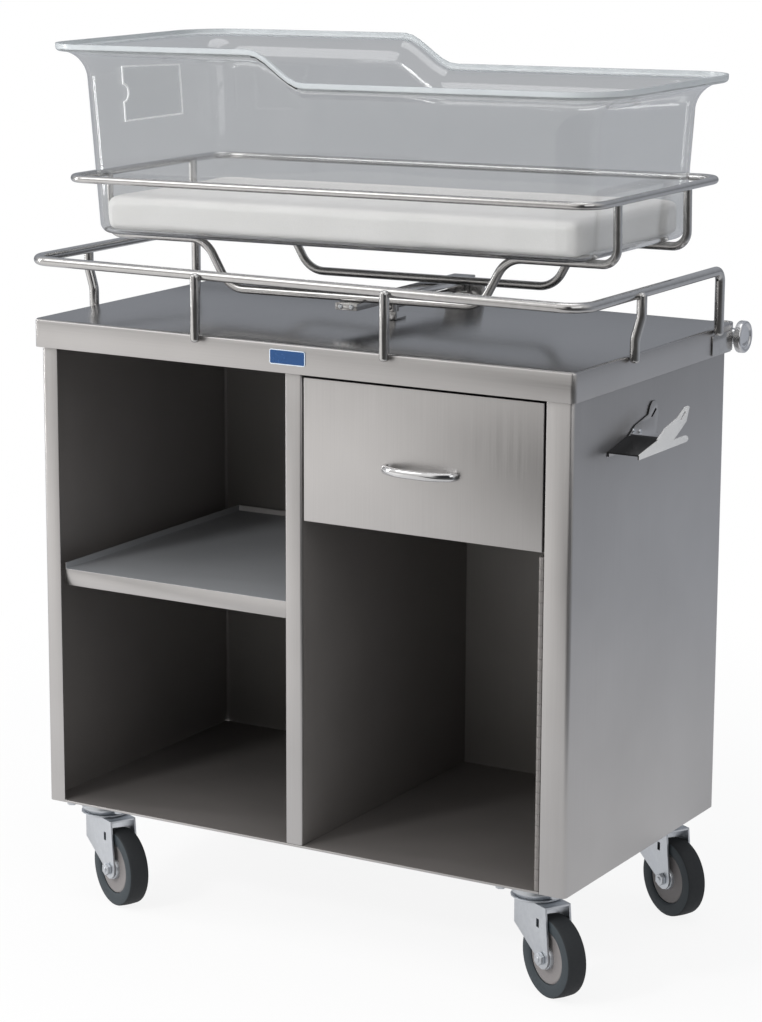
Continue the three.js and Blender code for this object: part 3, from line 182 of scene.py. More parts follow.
# The back sheet inside the bays carries painted shade too, painted a little lighter than the walls as painted bounce
# light, so the depth of the bays doesn't go black
bay_back_painted_shade = steel("stainless_back_painted_shade", "#96938f", "#a29f9c", 0.55, 0.06, "Z", 0.01, 0.55)
# The bay floors are painted darker than the outside sheet as painted shade
bay_floor_painted_shade = steel("stainless_floor_painted_shade", "#787573", "#84807e", 0.62, 0.06, "X", 0.012, 0.55)
# The shelf is painted darker than the outside sheet as painted shade too, paler than the walls
bay_shelf_painted_shade = steel("stainless_shelf_painted_shade", "#a9acb0", "#b5b8bc", 0.46, 0.06, "X", 0.012, 0.6)
# Drawn and polished stainless rod: near mirror, with faint draw marks
polished_rod = plain("polished_stainless_rod", "#b4b3b2", "#cbcac9", 0.17, 0.04, 9, metallic=1)
# The side bracket: its outer ear is painted near white as a painted reflection, its web is painted dark as painted
# shade
ear_painted_reflection = plain("stainless_ear_painted_reflection", "#e4e4e3", "#efefee", 0.5, 0.06, 5, metallic=0.25)
web_painted_shade = plain("bracket_web_painted_shade", "#2a2a2b", "#353536", 0.42, 0.06, 8, metallic=0.6)
# Chrome plate over cast zinc: bright and sharp
chrome = plain("chrome_plate", "#d2d2d3", "#dededf", 0.07, 0.02, 20, metallic=1)
# Knurled chrome on the knob's drum: a fine grain that breaks the mirror
knurled_chrome = plain("knurled_chrome", "#b9b9ba", "#d6d6d7", 0.28, 0.06, 1.4, metallic=1, bump=0.7)
# Zinc plated pressings: bluish, slightly cloudy
zinc = plain("zinc_plated_steel", "#c4c8cd", "#dfe2e6", 0.4, 0.07, 6, metallic=1, bump=0.05)
# Moulded tyre rubber: dull dark tread, greyer bloomed side wall
tread_rubber = plain("tyre_tread_rubber", "#1e2022", "#2b2e31", 0.78, 0.08, 3, bump=0.15)
wall_rubber = plain("tyre_wall_rubber", "#2f363b", "#3b4348", 0.62, 0.08, 3, bump=0.1)
# Moulded nylon hub: warm grey, fine texture
hub_nylon = plain("moulded_nylon_hub", "#7a7676", "#8b8786", 0.45, 0.06, 2, bump=0.08)
# Clear moulded acrylic: see-through; its polished rim takes a whiter, less clear finish, a painted highlight for the
# light its edges carry as a white line
acrylic = plain("clear_acrylic", "#f6f7f7", "#fcfcfc", 0.03, 0.015, 60, Transmission_Weight=1.0, IOR=1.49)
lets_light_through(acrylic)
rim_painted_highlight = plain("acrylic_rim_painted_highlight", "#c3c8cb", "#d4d8da", 0.22, 0.05, 30, Transmission_Weight=0.35, IOR=1.49)
lets_light_through(rim_painted_highlight)
# Frosted edge of the card pocket: white where it was cut
frosted_edge = plain("frosted_acrylic_edge", "#f1f3f4", "#ffffff", 0.4, 0.05, 4)
# Enamelled blank plate: deep blue, glossy
blue_enamel = plain("blue_enamel_plate", "#123f70", "#19487c", 0.25, 0.04, 5)
pale_enamel = plain("pale_enamel_border", "#c9d6e2", "#dbe5ee", 0.3, 0.04, 5)


def mattress_cover():
    """Wipe-clean vinyl on foam: off-white, soft sheen, a fine leathery pebble and shallow puckers."""
    material, tree, shader, place = surface("mattress_vinyl", Roughness=0.5)
    pebble = put(tree, "ShaderNodeTexVoronoi", {"Vector": place, "Scale": 1000 / 2.2})
    pucker = put(tree, "ShaderNodeTexNoise", {"Vector": place, "Scale": 1000 / 70, "Detail": 4, "Roughness": 0.55})
    shade(tree, shader, "Base Color", pucker.outputs["Fac"], "#cbc9c7", "#d8d6d5")
    gloss = put(tree, "ShaderNodeMapRange", {"Value": pebble.outputs["Distance"], "To Min": 0.42, "To Max": 0.6})
    tree.links.new(gloss.outputs[0], shader.inputs["Roughness"])
    height = put(tree, "ShaderNodeMath", {0: pebble.outputs["Distance"], 1: 0.04}, operation="MULTIPLY")
    total = put(tree, "ShaderNodeMath", {0: height.outputs[0], 1: pucker.outputs["Fac"]}, operation="ADD")
    relief = put(tree, "ShaderNodeBump", {"Height": total.outputs[0], "Strength": 0.35, "Distance": 0.006})
    tree.links.new(relief.outputs[0], shader.inputs["Normal"])
    return material


vinyl = mattress_cover()


def keep(name, bm, materials, body, replaced=(), place=CABINET, sharp=38):
    """Turns a bmesh into a piece that rides on a body and stands for the named nodes."""
    bmesh.ops.transform(bm, matrix=place, verts=bm.verts)
    mesh = bpy.data.meshes.new(name)
    bm.to_mesh(mesh)
    bm.free()
    for material in materials:
        mesh.materials.append(material)
    mesh.shade_smooth()
    mesh.set_sharp_from_angle(angle=math.radians(sharp))
    piece = bpy.data.objects.new(name, mesh)
    scene.collection.objects.link(piece)
    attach(piece, body)
    if replaced:
        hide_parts(*replaced)
    return piece


def edges_of(geometry):
    return [e for e in geometry if isinstance(e, bmesh.types.BMEdge)]


def verts_of(geometry):
    return [v for v in geometry if isinstance(v, bmesh.types.BMVert)]


def soften(bm, width, segments=2, angle=28, edges=None):
    """Rounds a bmesh's sharp edges."""
    limit = math.radians(angle)
    sharp = edges or [e for e in bm.edges if e.is_manifold and e.calc_face_angle(0) > limit]
    bmesh.ops.bevel(bm, geom=sharp, offset=width, offset_type="OFFSET", segments=segments, profile=0.5,
                    affect="EDGES", clamp_overlap=True, material=-1)


def dressed(node, material, width=0.5, pick=None, others=(), segments=2):
    """A merged copy of a solid with its edges rounded; pick() gives a face's place in the list of finishes."""
    bm = bmesh.new()
    bm.from_mesh(nodes[node].data)
    bmesh.ops.remove_doubles(bm, verts=bm.verts, dist=2e-6)
    bmesh.ops.dissolve_limit(bm, angle_limit=math.radians(1), verts=bm.verts, edges=bm.edges)
    for face in bm.faces:
        face.material_index = int(pick(face)) if pick else 0
    soften(bm, width / 1000, segments)
    body = next(b for b, members in frame["record"]["behaviour"]["bodies"].items() if node in members)
    return keep(node + "_finished", bm, [material, *others], body, [node], FRAME)


def bent_rod(corners, bends, diameter, sides=22):
    """A round rod drawn along straight runs and swept through each bend."""
    bm = bmesh.new()
    path = [Vector(c) for c in corners]
    heading = (path[1] - path[0]).normalized()
    turn_to = heading.to_track_quat("Z", "Y").to_matrix().to_4x4()
    bmesh.ops.create_circle(bm, cap_ends=True, segments=sides, radius=diameter / 2,
                            matrix=Matrix.Translation(path[0]) @ turn_to)
    rim = list(bm.edges)
    here = path[0]
    for i in range(1, len(path)):
        heading = (path[i] - path[i - 1]).normalized()
        stop = path[i]
        if i < len(path) - 1:
            after = (path[i + 1] - path[i]).normalized()
            turn = heading.angle(after)
            stop = path[i] - heading * bends[i - 1] * math.tan(turn / 2)
        run = bmesh.ops.extrude_edge_only(bm, edges=rim)["geom"]
        bmesh.ops.translate(bm, verts=verts_of(run), vec=stop - here)
        rim, here = edges_of(run), stop
        rim = [e for e in rim if all(v in set(verts_of(run)) for v in e.verts)]
        if i < len(path) - 1:
            axis = heading.cross(after).normalized()
            centre = stop + axis.cross(heading) * bends[i - 1]
            swept = bmesh.ops.spin(bm, geom=rim, cent=centre, axis=axis, angle=turn, dvec=(0, 0, 0),
                                   steps=max(3, round(turn / 0.13)), use_duplicate=False)["geom_last"]
            rim = edges_of(swept)
            here = path[i] + after * bends[i - 1] * math.tan(turn / 2)
    bmesh.ops.edgeloop_fill(bm, edges=rim)
    bmesh.ops.recalc_face_normals(bm, faces=bm.faces)
    return bm


def turned(profile, steps=48):
    """A profile of (radius, height) spun once round Y."""
    bm = bmesh.new()
    line = [bm.verts.new((r, h, 0)) for r, h in profile]
    for a, b in zip(line, line[1:]):
        bm.edges.new((a, b))
    bmesh.ops.spin(bm, geom=line + list(bm.edges), cent=(0, 0, 0), axis=(0, 1, 0), angle=2 * math.pi,
                   dvec=(0, 0, 0), steps=steps, use_merge=True, use_duplicate=False)
    bmesh.ops.remove_doubles(bm, verts=bm.verts, dist=0.01)
    bmesh.ops.recalc_face_normals(bm, faces=bm.faces)
    return bm


# Cabinet sheet: outer faces are satin, faces that look into a bay take the darker inside steel as painted shade
def into_bay(face):
    c = (face.calc_center_median() - MIDDLE) * 1000
    n = face.normal
    deep = FRONT_Y + 3 < c.y < REAR_Y - 1.2
    return deep and (abs(n.x) > 0.7 or abs(n.y) > 0.7) and LEFT_X + 1 < c.x < RIGHT_X - 1


# The top's upward faces take the buffed steel with its painted shade
dressed("cabinet_top", satin_level, 0.3, lambda f: f.normal.z > 0.5, [buffed_top_painted_shade])
for panel in ("left_side_panel", "right_side_panel", "centre_divider"):
    dressed(panel, satin_upright, 0.5, into_bay, [inside_steel_painted_shade])
dressed("back_panel", satin_upright, 0.4, lambda f: f.normal.y < -0.7, [bay_back_painted_shade])
dressed("floor_panel", satin_level, 0.5, lambda f: f.normal.z > 0.7, [bay_floor_painted_shade])
dressed("shelf", satin_level, 0.8, lambda f: f.normal.y > -0.7, [bay_shelf_painted_shade])
for support in ("shelf_support_left", "shelf_support_right"):
    dressed(support, inside_steel_painted_shade, 0.4)
dressed("drawer_front", satin_upright, 0.9, segments=3)
dressed("drawer_box", satin_level, 0.5)
for slider in ("drawer_slide_left", "drawer_slide_right", "drawer_runner_left", "drawer_runner_right"):
    dressed(slider, zinc, 0.4)
for leaf in ("hinge_fixed_leaf", "hinge_free_leaf", "hinge_pin"):
    dressed(leaf, inside_steel_painted_shade, 0.3)
for fitting in ("socket_bracket", "rod_socket", "tilt_front_stand", "tilt_rear_stand", "tilt_channel", "tilt_pin"):
    dressed(fitting, polished_rod, 0.5)


# The side bracket's web gets painted shade between the two ears; the outer ear gets a painted reflection
def part_of_bracket(face):
    out = (face.calc_center_median().x - MIDDLE.x) * 1000 - RIGHT_X
    if out > 38:
        return 1
    return 2 if out > 3.5 or face.normal.x < 0.5 else 0


dressed("side_bracket", satin_upright, 0.5, part_of_bracket, [ear_painted_reflection, web_painted_shade])

# Guard rail and posts
guard_right = [(FOOT_X, RAIL_FRONT, GUARD_Z), (FOOT_X, RAIL_REAR, GUARD_Z), (FOOT_X, RAIL_REAR, FOOT_Z)]
guard_left = [(-x, y, z) for x, y, z in reversed(guard_right)]
guard_bends = [GUARD_CORNER, GUARD_REAR_BEND]


def round_ends(rod):
    """Domes the two cut ends of a rod."""
    caps = [f for f in rod.faces if len(f.verts) > 4]
    soften(rod, 4.6, 5, edges=[e for f in caps for e in f.edges])
    return rod


rail = bent_rod(guard_left + guard_right, guard_bends[::-1] + guard_bends, GUARD_ROD)
keep("guard_rail_rod", round_ends(rail), [polished_rod], "cabinet", ["guard_rail"])
POST_TOP = GUARD_Z + GUARD_ROD / 4
for side, sign in (("left", -1), ("right", 1)):
    x = sign * 137
    straight = bent_rod([(x, -FOOT_Y, FOOT_Z), (x, -FOOT_Y, POST_TOP)], [], GUARD_ROD)
    keep(f"guard_post_front_{side}_rod", round_ends(straight), [polished_rod], "cabinet",
         [f"guard_post_front_{side}"])
    foot, top = sign * FOOT_X, sign * (FOOT_X + POST_OUT)
    knees = [(foot, -80, FOOT_Z), (foot, -80, TOP_Z + KNEE_LOW), (top, -80, TOP_Z + KNEE_HIGH), (top, -80, POST_TOP)]
    stepped = bent_rod(knees, [GUARD_CORNER] * 2, GUARD_ROD)
    keep(f"guard_post_{side}_rod", round_ends(stepped), [polished_rod], "cabinet", [f"guard_post_{side}"])

# Carrier ring and rods
ring_half = [(0, -RING_Y, RING_Z), (RING_X, -RING_Y, RING_Z), (RING_X, RING_Y, RING_Z), (0, RING_Y, RING_Z)]
ring = bent_rod(ring_half, [RING_CORNER] * 2, RING_ROD)
bmesh.ops.delete(ring, geom=[f for f in ring.faces if len(f.verts) > 4], context="FACES_ONLY")
bmesh.ops.mirror(ring, geom=list(ring.verts) + list(ring.edges) + list(ring.faces), axis="X", merge_dist=0.05)
bmesh.ops.remove_doubles(ring, verts=ring.verts, dist=0.05)
bmesh.ops.recalc_face_normals(ring, faces=ring.faces)
keep("carrier_ring_rod", ring, [polished_rod], "carrier", ["carrier_ring"], CARRIER)
LEG_X = RING_X - RING_ROD / 2 - CARRIER_ROD / 2 - FIT
shift = (REST_Z - LOW_Z) / math.tan(math.radians(LOW_SLOPE)) / 2
for name, y in (("front", -ROD_Y), ("rear", ROD_Y)):
    right = [(LOW_SPAN - shift, y, LOW_Z), (LOW_SPAN + shift, y, REST_Z), (LEG_X, y, REST_Z), (LEG_X, y, RING_Z)]
    left = [(-x, v, z) for x, v, z in reversed(right)]
    bends = [LEG_BEND, ROD_BEND, ROD_BEND]
    keep(f"carrier_{name}_bent_rod", bent_rod(left + right, bends + bends[::-1], CARRIER_ROD), [polished_rod],
         "carrier", [f"carrier_{name}_rod"], CARRIER)


# Drawer pull: a flattened bow with round shoulders
def drawer_pull():
    y, out = FRONT_Y - FIT, FRONT_Y - FIT - 20
    foot, shoulder = 49.5, 26
    right = [(shoulder, out, 0), (foot, y - 7, 0), (foot, y, 0)]
    left = [(-x, h, z) for x, h, z in reversed(right)]
    bm = bent_rod(left + right, [8, 60, 60, 8], 7, 24)
    bmesh.ops.scale(bm, vec=(1, 1, 11 / 7), verts=bm.verts)
    bmesh.ops.translate(bm, vec=(181, 0, 646.5), verts=bm.verts)
    return bm


keep("drawer_pull", drawer_pull(), [chrome], "drawer", ["drawer_handle"])


# Clamp knob: a chromed drum with a knurled side and a dished face with a raised ring, on its stud
def knob():
    stud = [(0, 11), (3.6, 11), (4, 11.6), (4, 15.3), (10, 15.3), (10.5, 15.8), (10.5, 25.5)]
    drum = [(19.2, 25.5), (20.5, 25.9), (21, 27), (21, 32.8), (20.7, 34.2), (19.8, 35.2), (18.6, 35.5)]
    face = [(16.8, 35.3), (15.6, 34.6), (14.8, 33.4), (13.6, 33), (12.4, 33.4), (11.2, 33.1), (6, 32.6), (0, 32.5)]
    bm = turned(stud + drum + face, 64)
    for part in bm.faces:
        c = part.calc_center_median()
        part.material_index = int(math.hypot(c.x, c.z) > 20.8 and 27 < c.y < 33)
    bmesh.ops.transform(bm, matrix=Matrix.Translation((369, 242.1, 769)) @ Matrix.Rotation(-math.pi / 2, 4, "Z"),
                        verts=bm.verts)
    return bm


keep("clamp_knob_turned", knob(), [chrome, knurled_chrome], "knob", ["clamp_knob"])


# Basket: a drawn acrylic tub that steps down to the right, with flared ends
BASKET_RIM = (411, 195)
BASKET_WALL_TOP = (368, 165)
BASKET_BASE = (359, 158)
BASKET_EDGE, BASKET_CORNER, BASKET_THICK = 14, 38, 4
BASKET_LOW, BASKET_STEP, BASKET_FLARE = 207, 39, 38
BASKET_LIP, LIP_BEND, SIDE_FLARE = 6, 5, 30
STEP_X, STEP_LENGTH = -47, 78


def rim_height(x):
    t = min(1, max(0, (x - STEP_X + STEP_LENGTH / 2) / STEP_LENGTH))
    return BASKET_LOW + BASKET_STEP * (1 - t * t * (3 - 2 * t))


def basket_tub():
    """Drawn up ring by ring from its floor: a rounded edge, drafted walls, the flare, then the upturned lip."""
    bm = bmesh.new()
    size = [BASKET_BASE[0] - BASKET_EDGE, BASKET_BASE[1] - BASKET_EDGE, BASKET_CORNER - BASKET_EDGE]
    a, b, r = size
    floor = bm.faces.new([bm.verts.new(p) for p in ((-a, -b, 0), (a, -b, 0), (a, b, 0), (-a, b, 0))])
    bmesh.ops.bevel(bm, geom=list(floor.verts), offset=r, segments=10, profile=0.5, affect="VERTICES", material=-1)
    long_sides = [e for e in bm.edges if e.calc_length() > a]
    bmesh.ops.subdivide_edges(bm, edges=long_sides, cuts=60)
    short_sides = [e for e in bm.edges if e.calc_length() > b]
    bmesh.ops.subdivide_edges(bm, edges=short_sides, cuts=12)
    rim = [e for e in bm.edges if len(e.link_faces) == 1]

    def draw(length, width, corner, height):
        nonlocal rim, size
        grown = bmesh.ops.extrude_edge_only(bm, edges=rim)["geom"]
        new = set(verts_of(grown))
        a0, b0, r0 = size
        for v in new:
            cx = min(a0 - r0, max(r0 - a0, v.co.x))
            cy = min(b0 - r0, max(r0 - b0, v.co.y))
            out = Vector((v.co.x - cx, v.co.y - cy)).normalized() * corner
            v.co.x = cx * (length - corner) / (a0 - r0) + out.x
            v.co.y = cy * (width - corner) / (b0 - r0) + out.y
            v.co.z = height(v.co.x)
        rim = [e for e in edges_of(grown) if e.verts[0] in new and e.verts[1] in new]
        size = [length, width, corner]

    for k in range(1, 9):
        angle = k * math.pi / 16
        gap = BASKET_EDGE * (1 - math.sin(angle))
        draw(BASKET_BASE[0] - gap, BASKET_BASE[1] - gap, BASKET_CORNER - gap, lambda x: BASKET_EDGE * (1 - math.cos(angle)))
    flare_end = BASKET_THICK + BASKET_LIP
    for k in range(1, 4):
        t = k / 4
        half = [base + t * (wall - base) for base, wall in zip(BASKET_BASE, BASKET_WALL_TOP)]
        draw(*half, BASKET_CORNER, lambda x: BASKET_EDGE + t * (rim_height(x) - flare_end - BASKET_FLARE - BASKET_EDGE))
    for k in range(0, 11):
        angle = k * math.pi / 20
        out = 1 - math.cos(angle)
        half = [wall + (rim - LIP_BEND - wall) * out for wall, rim in zip(BASKET_WALL_TOP, BASKET_RIM)]
        drop = flare_end + BASKET_FLARE * (1 - math.sin(angle))
        draw(*half, BASKET_CORNER + (SIDE_FLARE - LIP_BEND) * out, lambda x: rim_height(x) - drop)
    for k in range(1, 6):
        angle = k * math.pi / 10
        out = LIP_BEND * (1 - math.sin(angle))
        drop = flare_end - LIP_BEND * (1 - math.cos(angle))
        draw(BASKET_RIM[0] - out, BASKET_RIM[1] - out, BASKET_CORNER + SIDE_FLARE - out, lambda x: rim_height(x) - drop)
    draw(*BASKET_RIM, BASKET_CORNER + SIDE_FLARE, rim_height)
    bmesh.ops.recalc_face_normals(bm, faces=bm.faces)
    if bm.faces[0].normal.z > 0:
        bmesh.ops.reverse_faces(bm, faces=bm.faces)
    bmesh.ops.solidify(bm, geom=list(bm.faces), thickness=BASKET_THICK)
    # Faces within the lip's depth below the rim take the rim's painted highlight
    for face in bm.faces:
        low = min(v.co.z - rim_height(v.co.x) for v in face.verts)
        face.material_index = int(low > -BASKET_LIP - 1)
    return bm


BASKET = CARRIER @ Matrix.Translation((-4, 0, BASKET_FLOOR))
keep("basket_tub", basket_tub(), [acrylic, rim_painted_highlight], "tub", ["basket"], BASKET, 50)


# Card pocket: a clear plate with frosted cut edges, on the left end wall
def card_pocket():
    bm = bmesh.new()
    bm.from_mesh(nodes["card_holder"].data)
    bmesh.ops.remove_doubles(bm, verts=bm.verts, dist=2e-6)
    bmesh.ops.dissolve_limit(bm, angle_limit=math.radians(1), verts=bm.verts, edges=bm.edges)
    broad = [f for f in bm.faces if f.calc_area() > 0.002]
    for face in bm.faces:
        face.material_index = int(face not in broad)
    border = bmesh.ops.inset_region(bm, faces=broad, thickness=0.0022, use_even_offset=True)["faces"]
    for face in border:
        face.material_index = 1
    return bm


keep("card_pocket", card_pocket(), [acrylic, frosted_edge], "tub", ["card_holder"], FRAME)


# Mattress: a foam block crowned on top and drawn in between its corners, swelled inside its cover, then smoothed
MATTRESS_HALF = (347, 146)
MATTRESS_THICK = 43
MATTRESS_CORNER, MATTRESS_EDGE = 16, 7
MATTRESS_CROWN, MATTRESS_DRAW = 5, 4


def mattress_pad():
    bm = bmesh.new()
    bmesh.ops.create_cube(bm, size=1)
    length, width = (2 * half for half in MATTRESS_HALF)
    bmesh.ops.scale(bm, vec=(length, width, MATTRESS_THICK), verts=bm.verts)
    bmesh.ops.translate(bm, vec=(0, 0, BASKET_THICK + FIT + MATTRESS_THICK / 2), verts=bm.verts)
    upright = [e for e in bm.edges if abs(e.verts[0].co.z - e.verts[1].co.z) > 1]
    bmesh.ops.bevel(bm, geom=upright, offset=MATTRESS_CORNER, segments=6, profile=0.5, affect="EDGES", material=-1)
    level = [e for e in bm.edges if abs(e.verts[0].co.z - e.verts[1].co.z) < 1]
    bmesh.ops.bevel(bm, geom=level, offset=MATTRESS_EDGE, segments=4, profile=0.5, affect="EDGES", material=-1)
    bmesh.ops.transform(bm, matrix=BASKET, verts=bm.verts)
    mesh = bpy.data.meshes.new("mattress_pad")
    bm.to_mesh(mesh)
    bm.free()
    pad = bpy.data.objects.new("mattress_pad", mesh)
    scene.collection.objects.link(pad)
    voxel = pad.modifiers.new("voxel", "REMESH")
    voxel.mode = "VOXEL"
    voxel.voxel_size = 0.006
    bake_modifiers(pad)
    crown_and_draw(pad)
    swell(pad, 0.003)
    smooth = pad.modifiers.new("smooth", "SUBSURF")
    smooth.levels = smooth.render_levels = 1
    return pad


def crown_and_draw(piece):
    """Raises the middle of the top and pulls the sides in between the corners, in the tub's own frame."""
    tub_place = BASKET.inverted()
    for v in piece.data.vertices:
        spot = tub_place @ v.co
        along = spot.x / MATTRESS_HALF[0]
        across = spot.y / MATTRESS_HALF[1]
        mid_length = max(0, 1 - along ** 2)
        mid_width = max(0, 1 - across ** 2)
        height = (spot.z - BASKET_THICK - FIT) / MATTRESS_THICK
        spot.z += MATTRESS_CROWN * mid_length * mid_width * max(0, height)
        spot.x -= MATTRESS_DRAW * mid_width * along
        spot.y -= MATTRESS_DRAW * mid_length * across
        v.co = BASKET @ spot


def bake_modifiers(piece):
    """Replaces a piece's mesh by what its modifiers give."""
    graph = bpy.context.evaluated_depsgraph_get()
    mesh = bpy.data.meshes.new_from_object(piece.evaluated_get(graph))
    piece.modifiers.clear()
    piece.data = mesh


def swell(piece, cap):
    """Cloth under inner pressure for twenty frames; no point moves further than cap or into the tub's floor."""
    start = [v.co.copy() for v in piece.data.vertices]
    tub_place = BASKET.inverted()
    cloth = piece.modifiers.new("cloth", "CLOTH")
    cloth.settings.use_pressure = True
    cloth.settings.uniform_pressure_force = 4
    cloth.settings.effector_weights.gravity = 0
    cloth.settings.quality = 5
    for step in range(1, 21):
        scene.frame_set(step)
    bake_modifiers(piece)
    scene.frame_set(1)
    for v, was in zip(piece.data.vertices, start):
        move = v.co - was
        if move.length > cap:
            v.co = was + move * (cap / move.length)
        inside = tub_place @ v.co
        inside.z = max(inside.z, BASKET_THICK + FIT)
        v.co = tub_place.inverted() @ inside


pad = mattress_pad()
pad.data.materials.append(vinyl)
pad.data.shade_smooth()
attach(pad, "pad")
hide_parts("mattress")


# Casters: pressed plates and forks, turned wheels and bolts
def tyre_ring():
    half = WHEEL_WIDTH / 2
    wall = [(34.3, half - 2.2), (35.6, half - 1), (38, half - 0.2), (42, half), (48.6, half - 0.2)]
    shoulder = [(50, half - 0.6), (51, half - 1.5), (51.4, half - 2.6)]
    side = wall + shoulder + [(51.8, half - 8), (52, 0)]
    profile = side + [(r, -h) for r, h in reversed(side[:-1])] + [side[0]]
    bm = turned(profile, 84)
    for face in bm.faces:
        c = face.calc_center_median()
        face.material_index = int(math.hypot(c.x, c.z) > 50.4)
    return bm


def wheel_hub():
    """A recessed disc, with the plated bearing cup round the axle."""
    half = WHEEL_WIDTH / 2
    cup = [(4.4, 16.1), (12.5, 16.1), (14.4, 15.4), (15, 14), (15.2, half - 3.2)]
    disc = [(17, half - 3.6), (29, half - 3.4), (31, half - 2.9), (33, half - 2.9), (34, half - 3.6)]
    rim = cup + disc
    profile = rim + [(r, -h) for r, h in reversed(rim)] + [rim[0]]
    bm = turned(profile, 64)
    for face in bm.faces:
        c = face.calc_center_median()
        face.material_index = int(math.hypot(c.x, c.z) < 15.3)
    return bm


def axle_bolt():
    seat = FORK_OUTSIDE + FIT
    end = seat + 7.6
    bm = turned([(0, -end), (3.2, -end), (4, -end + 0.8), (4, end - 0.8), (3.2, end), (0, end)], 24)
    for sign in (-1, 1):
        place = Matrix.Translation((0, sign * (seat + 3), 0)) @ Matrix.Rotation(math.pi / 2, 4, "X")
        made = bmesh.ops.create_cone(bm, cap_ends=True, segments=6, radius1=8.5, radius2=8.5, depth=6, matrix=place)
        outer = {e for v in made["verts"] for e in v.link_edges}
        soften(bm, 0.7, edges=list(outer))
    return bm


for corner, (sx, sy, turn) in CASTERS.items():
    swivel = CABINET @ Matrix.Translation((sx * CASTER_X, sy * CASTER_Y, 0)) @ Matrix.Rotation(math.radians(turn), 4, "Z")
    axle = swivel @ Matrix.Translation((CASTER_TRAIL, 0, WHEEL_RADIUS))
    dressed(f"caster_plate_{corner}", zinc, 0.6)
    dressed(f"caster_fork_{corner}", zinc, 1.0, segments=3)
    keep(f"caster_axle_{corner}_bolt", axle_bolt(), [zinc], f"fork_{corner}", [f"caster_axle_{corner}"], axle)
    keep(f"caster_tyre_{corner}_ring", tyre_ring(), [wall_rubber, tread_rubber], f"wheel_{corner}",
         [f"caster_tyre_{corner}"], axle)
    keep(f"caster_hub_{corner}_disc", wheel_hub(), [hub_nylon, zinc], f"wheel_{corner}", [f"caster_hub_{corner}"], axle)


# Small screws: two close the channel's front end, two hold the side bracket to its panel
def screw_heads(places, radius, facing):
    """Domed heads with a cross slot's dimple, each turned from Y to the way it faces."""
    bm = bmesh.new()
    for place in places:
        head = turned([(0, -1.4), (radius * 0.3, -2.0), (radius * 0.75, -1.7), (radius, -0.6), (radius, 0.4), (0, 0.4)], 24)
        turn = Vector((0, -1, 0)).rotation_difference(Vector(facing)).to_matrix().to_4x4()
        bmesh.ops.transform(head, matrix=Matrix.Translation(place) @ turn, verts=head.verts)
        made = bpy.data.meshes.new("head")
        head.to_mesh(made)
        head.free()
        bm.from_mesh(made)
        bpy.data.meshes.remove(made)
    return bm


channel_front = [(-8, -114.5, 13.6), (8, -114.5, 13.6)]
keep("channel_end_screws", screw_heads(channel_front, 3.4, (0, -1, 0)), [zinc], "carrier", place=CARRIER)
bracket_face = [(389.8, -58, 693), (389.8, -40, 689)]
keep("side_bracket_screws", screw_heads(bracket_face, 3.4, (1, 0, 0)), [zinc], "cabinet")


# Blank plate on the apron
def blank_plate():
    bm = bmesh.new()
    bmesh.ops.create_cube(bm, size=1, matrix=Matrix.Translation((-5, -TOP_DEPTH / 2 - 0.4, 772.5)) @ Matrix.Diagonal((52, 0.8, 19, 1)))
    uprights = [e for e in bm.edges if abs(e.verts[0].co.y - e.verts[1].co.y) > 0.5]
    bmesh.ops.bevel(bm, geom=uprights, offset=3, segments=5, profile=0.5, affect="EDGES", material=-1)
    face = [f for f in bm.faces if f.normal.y < -0.9]
    for f in bm.faces:
        f.material_index = 0
    border = bmesh.ops.inset_region(bm, faces=face, thickness=1.1, use_even_offset=True)["faces"]
    for f in border:
        f.material_index = 1
    return bm


keep("blank_plate", blank_plate(), [blue_enamel, pale_enamel], "cabinet")

# Camera, where the photograph was taken from
camera = bpy.data.objects.new("camera", bpy.data.cameras.new("camera"))
scene.collection.objects.link(camera)
camera.location = MIDDLE + Vector((2.009804, -3.438678, 1.414727))
camera.rotation_euler = [math.radians(v) for v in (77.56952, -0.25698, 30.38207)]
camera.data.lens = 109.54
camera.data.sensor_width = 36
camera.data.clip_end = 100
scene.camera = camera


# Studio: white seen directly; metal sees a pale room that is warm in front and cool behind
FRONT_TONE = (1.0, 0.985, 0.97, 1)
REAR_TONE = (0.44, 0.46, 0.5, 1)
BEHIND_ACRYLIC = (0.42, 0.43, 0.45, 1)
# The camera's own side of the room is unlit
DARK_SIDE = (0.62, -0.75, 0.22)


def front_to_rear(tree, y, front):
    back = put(tree, "ShaderNodeMapRange", {"Value": y, "From Min": -0.55, "From Max": 0.6},
               interpolation_type="SMOOTHSTEP")
    tone = put(tree, "ShaderNodeMix", {"Factor": back.outputs[0]}, data_type="RGBA")
    tone.inputs["B"].default_value = REAR_TONE
    if isinstance(front, tuple):
        tone.inputs["A"].default_value = front
    else:
        tree.links.new(front, tone.inputs["A"])
    return tone.outputs["Result"]


def room_tone(tree, direction):
    split = put(tree, "ShaderNodeSeparateXYZ", {0: direction})
    tone = front_to_rear(tree, split.outputs["Y"], FRONT_TONE)
    toward = put(tree, "ShaderNodeVectorMath", {0: direction, 1: Vector(DARK_SIDE).normalized()}, operation="DOT_PRODUCT")
    dark = put(tree, "ShaderNodeMapRange", {"Value": toward.outputs["Value"], "From Min": 0.74, "From Max": 0.93},
               interpolation_type="SMOOTHSTEP")
    dim = put(tree, "ShaderNodeMix", {"Factor": dark.outputs[0]}, data_type="RGBA")
    tree.links.new(tone, dim.inputs["A"])
    dim.inputs["B"].default_value = (0.05, 0.05, 0.055, 1)
    rise = put(tree, "ShaderNodeMapRange", {"Value": split.outputs["Z"], "From Max": 0.4, "To Min": 0.6})
    wall = put(tree, "ShaderNodeVectorMath", {0: dim.outputs["Result"]}, operation="SCALE")
    tree.links.new(rise.outputs[0], wall.inputs["Scale"])
    return wall.outputs[0]


